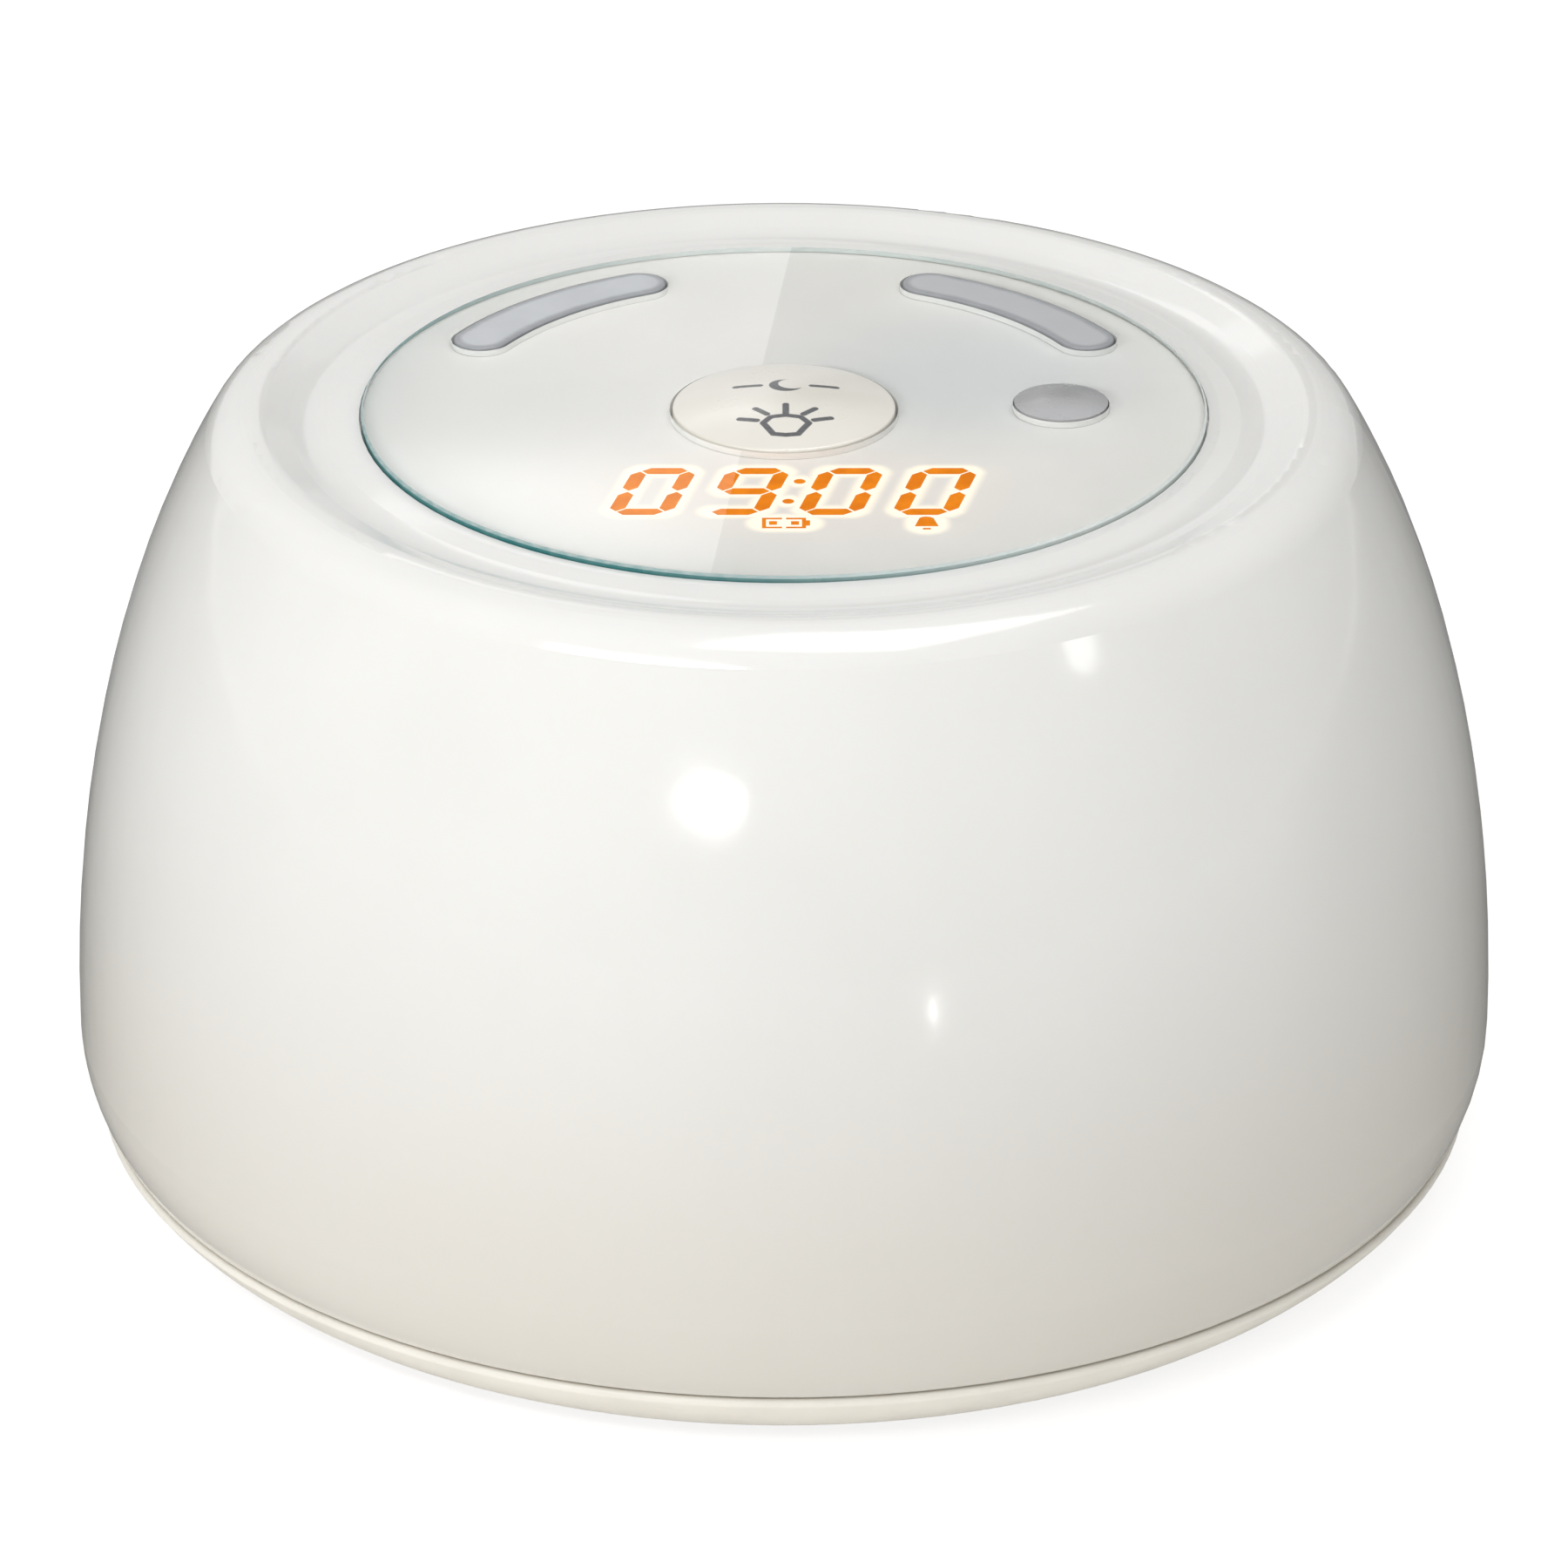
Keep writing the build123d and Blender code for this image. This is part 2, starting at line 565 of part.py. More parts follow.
# Base tray: floor, outer band, spigot, cell well, speaker seat, posts and screw columns
with BuildPart() as base_tray:
    with BuildSketch(Plane.XZ) as base_profile:
        with BuildLine():
            band_round = LOWER_ROUND + BASE_PROUD
            band_low = lower_turn(band_round, BASE_Z)
            band_high = lower_turn(band_round, BAND_Z)
            band = CenterArc(LOWER_CENTRE, band_round, -band_low, band_low - band_high)
            Polyline(
                band @ 1,
                (SPIGOT_R, BAND_Z),
                (SPIGOT_R, SPIGOT_Z),
                (SPIGOT_R - SPIGOT_WALL, SPIGOT_Z),
                (SPIGOT_R - SPIGOT_WALL, FLOOR_Z),
                (0, FLOOR_Z),
                (0, BASE_Z),
                band @ 0,
            )
        make_face()
        fillet(base_profile.vertices().sort_by_distance(band @ 1)[0], BASE_ROUND)
        fillet(base_profile.vertices().sort_by_distance(band @ 0)[0], BASE_ROUND)
    revolve(axis=Axis.Z)
    with BuildSketch(Plane.XY.offset(FLOOR_Z)):
        with Locations((0, WELL_Y)):
            Rectangle(WELL_LENGTH + 2 * WELL_WALL, WELL_WIDTH + 2 * WELL_WALL)
    extrude(amount=WELL_Z - FLOOR_Z)
    with BuildSketch(Plane.XY.offset(FLOOR_Z)):
        with Locations(*COLUMNS):
            Circle(COLUMN_RADIUS)
    extrude(amount=COLUMN_Z - FLOOR_Z)
    with BuildSketch(Plane.XY.offset(FLOOR_Z)):
        with Locations(*POSTS):
            Circle(POST_RADIUS)
    extrude(amount=LAMP_Z - FLOOR_Z)
    with BuildSketch(Plane.XY.offset(FLOOR_Z)):
        with Locations((0, SPEAKER_Y)):
            Circle(SPEAKER_SEAT_R + SPEAKER_SEAT_WALL)
            Circle(SPEAKER_SEAT_R, mode=Mode.SUBTRACT)
    extrude(amount=SPEAKER_SEAT_HEIGHT)
    with BuildSketch(Plane.XY.offset(BASE_Z)):
        with Locations((0, WELL_Y)):
            Rectangle(WELL_LENGTH, WELL_WIDTH)
    extrude(amount=ROOF_UNDER - BASE_Z, mode=Mode.SUBTRACT)
    with BuildSketch(Plane.XY.offset(BASE_Z)):
        with Locations((0, WELL_Y)):
            RectangleRounded(DOOR_LENGTH + 2 * DOOR_FIT, DOOR_WIDTH + 2 * DOOR_FIT, DOOR_ROUND + DOOR_FIT)
    extrude(amount=DOOR_THICKNESS, mode=Mode.SUBTRACT)
    with BuildSketch(Plane.XY.offset(BASE_Z)):
        with Locations(*FEET):
            Circle(FOOT_R + FOOT_FIT)
    extrude(amount=FOOT_RECESS, mode=Mode.SUBTRACT)
    with BuildSketch(Plane.XY.offset(BASE_Z)):
        with Locations(*COLUMNS):
            Circle(COUNTERBORE_R)
    extrude(amount=COUNTERBORE_DEPTH, mode=Mode.SUBTRACT)
    with Locations(*[(x, y, COLUMN_Z) for x, y in COLUMNS]):
        Hole(LARGE_PILOT, depth=COLUMN_Z - BASE_Z)
    with Locations(*[(x, y, LAMP_Z) for x, y in POSTS]):
        Hole(SMALL_PILOT, depth=SHANK_BITE + TIP_ROOM)
    with BuildSketch(Plane.XY.offset(BASE_Z)):
        with Locations((0, SPEAKER_Y)):
            Circle(GRILLE_HOLE)
            for ring, holes in enumerate(GRILLE_RINGS, 1):
                with PolarLocations(ring * GRILLE_STEP, holes):
                    Circle(GRILLE_HOLE)
    extrude(amount=BASE_FLOOR, mode=Mode.SUBTRACT)
    for end, row in TAB_ROWS.items():
        with BuildSketch(Plane.YZ.offset(end * WELL_LENGTH / 2)):
            with Locations((row, CELL_Z)):
                Rectangle(TAB_WIDTH + 2 * CONTACT_FIT, CONTACT_SHEET + 2 * CONTACT_FIT)
        extrude(amount=end * WELL_WALL, mode=Mode.SUBTRACT)
write(base_tray, "base_tray")

# Rubber feet
with BuildPart() as rubber_feet:
    with BuildSketch():
        with Locations(*FEET):
            Circle(FOOT_R)
    extrude(amount=FOOT_PROUD + FOOT_RECESS)
    fillet(rubber_feet.faces().group_by(Axis.Z)[0].edges(), FOOT_PROUD / 2)
write(rubber_feet, "rubber_feet")

# Screws
write_screws("base_screws", COLUMNS, BASE_Z + COUNTERBORE_DEPTH, True,
             COLUMN_Z - BASE_Z - COUNTERBORE_DEPTH + BASE_BITE, LARGE_SCREW)
write_screws("carrier_screws", CLOCK_BOSSES, COVER_UNDER, True,
             CARRIER_Z - COVER_UNDER + SHANK_BITE, SMALL_SCREW)
write_screws("board_screws", STANDOFFS, BOARD_UNDER, True, BOARD_THICKNESS + SHANK_BITE, SMALL_SCREW)
write_screws("lamp_screws", POSTS, LAMP_TOP, False, BOARD_THICKNESS + SHANK_BITE, SMALL_SCREW)

# Glass
with BuildPart() as top_glass:
    with BuildSketch(Plane.XY.offset(UNDER_GLASS_Z)):
        Circle(GLASS_R)
        face_openings(Mode.SUBTRACT)
    extrude(amount=GLASS_THICKNESS)
    rim_edges = top_glass.edges().filter_by(GeomType.CIRCLE).sort_by(SortBy.RADIUS)[-2:]
    chamfer(rim_edges.sort_by(Axis.Z)[-1], GLASS_BEVEL)
write(top_glass, "top_glass")

# Face film and the lit windows let into it
with BuildPart() as face_film:
    with BuildSketch(Plane.XY.offset(SEAT_Z)):
        Circle(GLASS_R - FILM_INSET)
        face_openings(Mode.SUBTRACT)
    extrude(amount=FILM_THICKNESS)
    with BuildSketch(Plane.XY.offset(SEAT_Z)):
        lit_face()
    extrude(amount=FILM_THICKNESS, mode=Mode.SUBTRACT)
write(face_film, "face_film")

with BuildPart() as lit_segments:
    with BuildSketch(Plane.XY.offset(SEAT_Z)):
        lit_face()
    extrude(amount=FILM_THICKNESS)
write(lit_segments, "lit_segments")

# Display block behind the film
display_length = (len(DIGITS) - 1) * DIGIT_PITCH + DIGIT_WIDTH + 2 * DISPLAY_BORDER
display_length += DIGIT_HEIGHT * math.tan(math.radians(DIGIT_SLANT))
display_front = DIGIT_Y - SYMBOL_DROP - CELL_SYMBOL[1] / 2 - DISPLAY_BORDER
display_back = DIGIT_Y + DIGIT_HEIGHT / 2 + DISPLAY_BORDER
display_place = (DISPLAY_X, (display_front + display_back) / 2)
display_width = display_back - display_front
with BuildPart() as display_module:
    with BuildSketch(Plane.XY.offset(BOARD_Z)):
        with Locations(display_place):
            RectangleRounded(display_length, display_width, DISPLAY_BORDER / 2)
        Circle(CARRIER_INNER - DISPLAY_FIT, mode=Mode.INTERSECT)
    extrude(amount=DISPLAY_HEIGHT)
write(display_module, "display_module")

# Clock carrier: a cup under the glass with a screw flange
with BuildPart() as clock_carrier:
    with BuildSketch(Plane.XY.offset(CARRIER_UNDER)):
        Circle(CARRIER_FLANGE_R)
    extrude(amount=CARRIER_FLANGE)
    with BuildSketch(Plane.XY.offset(CARRIER_UNDER)):
        Circle(CARRIER_R)
    extrude(amount=SEAT_Z - CARRIER_UNDER)
    with BuildSketch(Plane.XY.offset(CARRIER_UNDER)):
        Circle(CARRIER_INNER)
    extrude(amount=PLATE_Z - CARRIER_UNDER, mode=Mode.SUBTRACT)
    with BuildSketch(Plane.XY.offset(BOARD_Z)):
        with Locations(*STANDOFFS):
            Circle(STANDOFF_RADIUS)
    extrude(amount=PLATE_Z - BOARD_Z)
    with BuildSketch(Plane.XY.offset(PLATE_Z)):
        with Locations(display_place):
            Rectangle(display_length + 2 * DISPLAY_FIT, display_width + 2 * DISPLAY_FIT)
        Circle(CARRIER_INNER, mode=Mode.INTERSECT)
        face_openings(Mode.ADD)
    extrude(amount=PLATE_THICKNESS, mode=Mode.SUBTRACT)
    with Locations(*[(x, y, BOARD_Z) for x, y in STANDOFFS]):
        Hole(SMALL_PILOT, depth=SHANK_BITE + TIP_ROOM)
    with Locations(*[(x, y, CARRIER_Z) for x, y in CLOCK_BOSSES]):
        Hole(SMALL_PILOT, depth=CARRIER_FLANGE)
write(clock_carrier, "clock_carrier")

# Clock cover: a dish that closes the carrier from below
with BuildPart() as clock_cover:
    with BuildSketch(Plane.XY.offset(COVER_UNDER)):
        Circle(CARRIER_FLANGE_R)
    extrude(amount=CARRIER_FLANGE)
    with BuildSketch(Plane.XY.offset(CARRIER_UNDER - COVER_DEPTH - COVER_WALL)):
        Circle(COVER_R)
    extrude(amount=COVER_DEPTH + COVER_WALL)
    with BuildSketch(Plane.XY.offset(CARRIER_UNDER - COVER_DEPTH)):
        Circle(COVER_R - COVER_WALL)
    extrude(amount=COVER_DEPTH, mode=Mode.SUBTRACT)
    with BuildSketch(Plane.XY.offset(CARRIER_UNDER - COVER_DEPTH - COVER_WALL)):
        with Locations(LEAD_PLACE):
            Circle(LEAD_HOLE)
    extrude(amount=COVER_WALL, mode=Mode.SUBTRACT)
    with Locations(*[(x, y, CARRIER_UNDER) for x, y in CLOCK_BOSSES]):
        Hole(SMALL_PILOT, depth=CARRIER_FLANGE)
write(clock_cover, "clock_cover")

# Clock board
with BuildPart() as clock_board:
    with BuildSketch(Plane.XY.offset(BOARD_UNDER)):
        Circle(CARRIER_INNER - BOARD_FIT)
        with Locations(*STANDOFFS):
            Circle(SMALL_PILOT, mode=Mode.SUBTRACT)
    extrude(amount=BOARD_THICKNESS)
write(clock_board, "clock_board")


def write_switch(name, place, azimuth):
    """One switch housing on the clock board and the plunger that moves in it."""
    with BuildPart() as housing:
        with BuildSketch(Plane.XY.offset(BOARD_Z)):
            with Locations(place):
                Rectangle(SWITCH_SIZE, SWITCH_SIZE, rotation=azimuth)
        extrude(amount=SWITCH_HEIGHT)
        with BuildSketch(Plane.XY.offset(BOARD_Z + SWITCH_FLOOR)):
            with Locations(place):
                Circle(PLUNGER_RADIUS + PLUNGER_GAP)
        extrude(amount=SWITCH_HEIGHT - SWITCH_FLOOR, mode=Mode.SUBTRACT)
    write(housing, f"{name}_switch")
    plunger_foot = BOARD_Z + SWITCH_FLOOR + PRESS_TRAVEL + PRESS_SPARE
    with BuildPart() as plunger:
        with BuildSketch(Plane.XY.offset(plunger_foot)):
            with Locations(place):
                Circle(PLUNGER_RADIUS)
        extrude(amount=PLUNGER_Z - plunger_foot)
    write(plunger, f"{name}_plunger")


write_switch("snooze", (0, SNOOZE_Y), 0)
for side, place in KEY_PLACES.items():
    write_switch(side, place, KEY_MIDDLES[side])

# Snooze button: a hollow dome with a flange under the carrier plate and a post over its switch
snooze_edge_z = GLASS_Z + SNOOZE_EDGE
snooze_roof_z = snooze_edge_z - SNOOZE_WALL
snooze_flange = SNOOZE_R + KEY_GAP + FLANGE_REACH
with BuildPart() as snooze_button:
    with BuildSketch(upright_plane(0, SNOOZE_Y)) as snooze_profile:
        with BuildLine():
            crown = dome(SNOOZE_R, snooze_edge_z, SNOOZE_CROWN)
            Polyline(
                crown @ 1,
                (0, PLUNGER_Z),
                (SNOOZE_POST, PLUNGER_Z),
                (SNOOZE_POST, snooze_roof_z),
                (SNOOZE_R - SNOOZE_WALL, snooze_roof_z),
                (SNOOZE_R - SNOOZE_WALL, PLUNGER_Z),
                (snooze_flange, PLUNGER_Z),
                (snooze_flange, FLANGE_Z),
                (SNOOZE_R, FLANGE_Z),
                crown @ 0,
            )
        make_face()
        fillet(snooze_profile.vertices().sort_by_distance((SNOOZE_R, snooze_edge_z))[0], KEY_EDGE)
    revolve(axis=upright_axis(0, SNOOZE_Y))
write(snooze_button, "snooze_button")

# Curved keys, each with a longer flange under the carrier plate
for side, line in KEY_LINES.items():
    with BuildPart() as key:
        with BuildSketch(Plane.XY.offset(FLANGE_Z)):
            SlotArc(line, KEY_WIDTH)
        extrude(amount=GLASS_Z + KEY_PROUD - FLANGE_Z)
        fillet(key.faces().sort_by(Axis.Z)[-1].edges(), KEY_EDGE)
        with BuildSketch(Plane.XY.offset(PLUNGER_Z)):
            SlotArc(key_line(side, KEY_SWEEP + 2 * FLANGE_SWEEP), KEY_WIDTH)
        extrude(amount=FLANGE_Z - PLUNGER_Z)
    write(key, f"{side}_key")

# Sensor lens and the sensor can under it
lens_edge_z = GLASS_Z + LENS_EDGE
lens_under = PLATE_Z - LENS_WALL
with BuildPart() as sensor_lens:
    with BuildSketch(upright_plane(SENSOR_X, 0)):
        with BuildLine():
            crown = dome(LENS_R, lens_edge_z, LENS_CROWN)
            Polyline(
                crown @ 1,
                (0, lens_edge_z),
                (LENS_R - LENS_WALL, lens_edge_z - LENS_WALL),
                (LENS_R - LENS_WALL, lens_under),
                (LENS_R + LENS_FIT + LENS_FLANGE, lens_under),
                (LENS_R + LENS_FIT + LENS_FLANGE, PLATE_Z),
                (LENS_R, PLATE_Z),
                crown @ 0,
            )
        make_face()
    revolve(axis=upright_axis(SENSOR_X, 0))
write(sensor_lens, "sensor_lens")

with BuildPart() as motion_sensor:
    with BuildSketch(Plane.XY.offset(BOARD_Z)):
        with Locations((SENSOR_X, 0)):
            Circle(SENSOR_CAN_RADIUS)
    extrude(amount=lens_under - SENSOR_CAN_GAP - BOARD_Z)
    fillet(motion_sensor.faces().sort_by(Axis.Z)[-1].edges(), SENSOR_CAN_GAP)
write(motion_sensor, "motion_sensor")

# Parts under the clock board
with BuildPart() as clock_chip:
    with BuildSketch(Plane.XY.offset(BOARD_UNDER)):
        with Locations(CHIP_PLACE):
            Rectangle(CHIP_SIZE, CHIP_SIZE)
    extrude(amount=-CHIP_HEIGHT)
    chamfer(clock_chip.faces().sort_by(Axis.Z)[0].edges(), EDGE_BREAK)
write(clock_chip, "clock_chip")

with BuildPart() as crystal_can:
    with BuildSketch(Plane.XY.offset(BOARD_UNDER)):
        with Locations(CRYSTAL_PLACE):
            Circle(CRYSTAL_RADIUS)
    extrude(amount=-CRYSTAL_HEIGHT)
    fillet(crystal_can.faces().sort_by(Axis.Z)[0].edges(), EDGE_BREAK)
write(crystal_can, "crystal_can")

with BuildPart() as capacitor:
    with BuildSketch(Plane.XY.offset(BOARD_UNDER)):
        with Locations(CAPACITOR_PLACE):
            Circle(CAPACITOR_RADIUS)
    extrude(amount=-CAPACITOR_HEIGHT)
    fillet(capacitor.faces().sort_by(Axis.Z)[0].edges(), EDGE_BREAK)
write(capacitor, "capacitor")

# Sockets and the lead between the two boards
socket_ends = {"clock_socket": (BOARD_UNDER, -1), "lamp_socket": (LAMP_TOP, 1)}
for name, (board_face, way) in socket_ends.items():
    with BuildPart() as socket:
        with BuildSketch(Plane.XY.offset(board_face)):
            with Locations(LEAD_PLACE):
                Rectangle(SOCKET[0], SOCKET[1])
        extrude(amount=way * SOCKET[2])
        chamfer(socket.edges().filter_by(Axis.Z), EDGE_BREAK)
    write(socket, name)

lead_low = LAMP_TOP + SOCKET[2]
lead_high = BOARD_UNDER - SOCKET[2]
write_leads("clock_lead", [[
    (*LEAD_PLACE, lead_low),
    (*LEAD_PLACE, lead_low + LEAD_RUN),
    (LEAD_PLACE[0] + LEAD_BOW, LEAD_PLACE[1], (lead_low + lead_high) / 2),
    (*LEAD_PLACE, lead_high - LEAD_RUN),
    (*LEAD_PLACE, lead_high),
]], LEAD_RADIUS)

# Night light board and its LEDs
with BuildPart() as lamp_board:
    with BuildSketch(Plane.XY.offset(LAMP_Z)):
        Circle(LAMP_R)
        with Locations(*POSTS):
            Circle(SMALL_PILOT, mode=Mode.SUBTRACT)
    extrude(amount=BOARD_THICKNESS)
write(lamp_board, "lamp_board")

with BuildPart() as lamp_leds:
    with BuildSketch(Plane.XY.offset(LAMP_TOP)):
        with PolarLocations(LAMP_R - LED_INSET, LED_COUNT):
            Rectangle(LED_SIZE, LED_SIZE)
    extrude(amount=LED_HEIGHT)
    with BuildSketch(Plane.XY.offset(LAMP_TOP + LED_HEIGHT)):
        with PolarLocations(LAMP_R - LED_INSET, LED_COUNT):
            Circle(LED_WINDOW[0])
    extrude(amount=-LED_WINDOW[1], mode=Mode.SUBTRACT)
write(lamp_leds, "lamp_leds")

# Cells, each turned round from the one before it
with BuildPart() as battery_cells:
    for row, y in enumerate(CELL_ROWS):
        plus = -1 if row % 2 == 0 else 1
        with BuildSketch(Plane.YZ.offset(-plus * CELL_LENGTH / 2)):
            with Locations((y, CELL_Z)):
                Circle(CELL_DIAMETER / 2)
        extrude(amount=plus * (CELL_LENGTH - CELL_NUB[1]))
        with BuildSketch(Plane.YZ.offset(plus * CELL_LENGTH / 2)):
            with Locations((y, CELL_Z)):
                Circle(CELL_NUB[0])
        extrude(amount=-plus * CELL_NUB[1])
    rims = battery_cells.edges().filter_by(lambda edge: edge.geom_type == GeomType.CIRCLE)
    fillet(rims.filter_by(lambda edge: edge.radius > CELL_NUB[0] + CELL_ROUND), CELL_ROUND)
write(battery_cells, "battery_cells")

# Contact plates at the ends of the cells: one joins two cells, the other has a tab through the well's wall
with BuildPart() as battery_contacts:
    for end, single in TAB_ROWS.items():
        joined = [row for row in CELL_ROWS if row != single]
        wall = Plane.YZ.offset(end * WELL_LENGTH / 2)
        with BuildSketch(wall):
            with Locations(((joined[0] + joined[-1]) / 2, CELL_Z)):
                Rectangle(joined[-1] - joined[0] + CONTACT_HEIGHT, CONTACT_HEIGHT)
            with Locations((single, CELL_Z)):
                Rectangle(CONTACT_HEIGHT, CONTACT_HEIGHT)
        extrude(amount=-end * CONTACT_SHEET)
        with BuildSketch(wall):
            with Locations(*[(y, CELL_Z) for y in CELL_ROWS]):
                Circle(DIMPLE_RADIUS)
        extrude(amount=-end * (CONTACT_DEPTH - CONTACT_FIT))
        with BuildSketch(wall):
            with Locations((single, CELL_Z)):
                Rectangle(TAB_WIDTH, CONTACT_SHEET)
        extrude(amount=end * (WELL_WALL + TAB_REACH))
write(battery_contacts, "battery_contacts")

tab_end = WELL_LENGTH / 2 + WELL_WALL + TAB_REACH
write_leads("battery_leads", [
    [
        (end * tab_end, row, CELL_Z),
        (end * (tab_end + WIRE_RUN), row, CELL_Z),
        (end * (tab_end + WIRE_RUN), row, LAMP_Z),
    ]
    for end, row in TAB_ROWS.items()
], WIRE_RADIUS)

# Cell door with a springy latch tongue between two slits
door_front = WELL_Y - DOOR_WIDTH / 2
with BuildPart() as battery_door:
    with BuildSketch(Plane.XY.offset(BASE_Z)):
        with Locations((0, WELL_Y)):
            RectangleRounded(DOOR_LENGTH, DOOR_WIDTH, DOOR_ROUND)
        with Locations((0, door_front + LATCH_LENGTH / 2)):
            with GridLocations(LATCH_WIDTH, LATCH_LENGTH, 2, 1):
                Rectangle(LATCH_SLIT, LATCH_LENGTH, mode=Mode.SUBTRACT)
    extrude(amount=DOOR_THICKNESS)
    with BuildSketch(Plane.XY.offset(BASE_Z)):
        with Locations((0, door_front + LATCH_LENGTH / 2)):
            with GridLocations(GRIP_LENGTH, LATCH_LENGTH / (GRIP_GROOVES + 1), 1, GRIP_GROOVES):
                Rectangle(GRIP_LENGTH, LATCH_SLIT)
    extrude(amount=GRIP_DEPTH, mode=Mode.SUBTRACT)
write(battery_door, "battery_door")

# Speaker: frame, cone and magnet, facing down over the grille
frame_inner = SPEAKER_R - SPEAKER_RIM_WIDTH
frame_back = FLOOR_Z + SPEAKER_DEPTH
with BuildPart() as speaker_frame:
    with BuildSketch(upright_plane(0, SPEAKER_Y)):
        with BuildLine():
            Polyline(
                (frame_inner, FLOOR_Z),
                (SPEAKER_R, FLOOR_Z),
                (SPEAKER_R, FLOOR_Z + SPEAKER_RIM),
                (frame_inner + SPEAKER_SHEET, FLOOR_Z + SPEAKER_RIM),
                (SPEAKER_BACK, frame_back),
                (0, frame_back),
                (0, frame_back - SPEAKER_SHEET),
                (SPEAKER_BACK - SPEAKER_SHEET, frame_back - SPEAKER_SHEET),
                (frame_inner, FLOOR_Z + SPEAKER_RIM),
                close=True,
            )
        make_face()
    revolve(axis=upright_axis(0, SPEAKER_Y))
write(speaker_frame, "speaker_frame")

with BuildPart() as speaker_cone:
    with BuildSketch(upright_plane(0, SPEAKER_Y)):
        with BuildLine():
            Polyline(
                (frame_inner - SPEAKER_FIT, FLOOR_Z + SPEAKER_FIT),
                (frame_inner - SPEAKER_FIT, FLOOR_Z + SPEAKER_FIT + CONE_SHEET),
                (CONE_NECK, FLOOR_Z + CONE_RISE + CONE_SHEET),
                (0, FLOOR_Z + CONE_RISE + CONE_SHEET),
                (0, FLOOR_Z + CONE_RISE),
                (CONE_NECK, FLOOR_Z + CONE_RISE),
                close=True,
            )
        make_face()
    revolve(axis=upright_axis(0, SPEAKER_Y))
write(speaker_cone, "speaker_cone")

with BuildPart() as speaker_magnet:
    with BuildSketch(Plane.XY.offset(frame_back)):
        with Locations((0, SPEAKER_Y)):
            Circle(MAGNET_RADIUS)
    extrude(amount=MAGNET_HEIGHT)
    chamfer(speaker_magnet.faces().sort_by(Axis.Z)[-1].edges(), EDGE_BREAK)
write(speaker_magnet, "speaker_magnet")

wire_x = (MAGNET_RADIUS + SPEAKER_BACK) / 2
wire_rise = (LAMP_Z - frame_back) / 3
write_leads("speaker_leads", [
    [
        (end * wire_x, SPEAKER_Y, frame_back),
        (end * wire_x, SPEAKER_Y, frame_back + wire_rise),
        (end * wire_x, SPEAKER_Y - wire_rise, LAMP_Z - wire_rise),
        (end * wire_x, SPEAKER_Y - wire_rise, LAMP_Z),
    ]
    for end in (1, -1)
], WIRE_RADIUS)
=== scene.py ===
import math

import bpy
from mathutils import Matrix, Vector


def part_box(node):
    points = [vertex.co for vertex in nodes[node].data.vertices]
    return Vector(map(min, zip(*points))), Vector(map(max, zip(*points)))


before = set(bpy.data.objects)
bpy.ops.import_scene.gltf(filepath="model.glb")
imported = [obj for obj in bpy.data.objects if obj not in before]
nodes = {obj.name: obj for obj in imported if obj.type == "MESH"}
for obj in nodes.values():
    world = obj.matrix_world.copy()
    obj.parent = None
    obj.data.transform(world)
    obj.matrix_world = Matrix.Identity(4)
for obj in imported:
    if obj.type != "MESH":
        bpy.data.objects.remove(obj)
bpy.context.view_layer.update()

MM_PER_METRE = 1000.0
WHITE = (1.0, 1.0, 1.0)

# Sockets of the mix node when it mixes colours
MIX_FACTOR, MIX_A, MIX_B, MIX_RESULT = 0, 6, 7, 2

# Most values of a noise lie between the first two, and a seed moves it along the step
NOISE_LOW, NOISE_HIGH = 0.3, 0.7
NOISE_ROUGHNESS = 0.55
SEED_STEP = (1.0, 0.7, 0.3)


# Node helpers

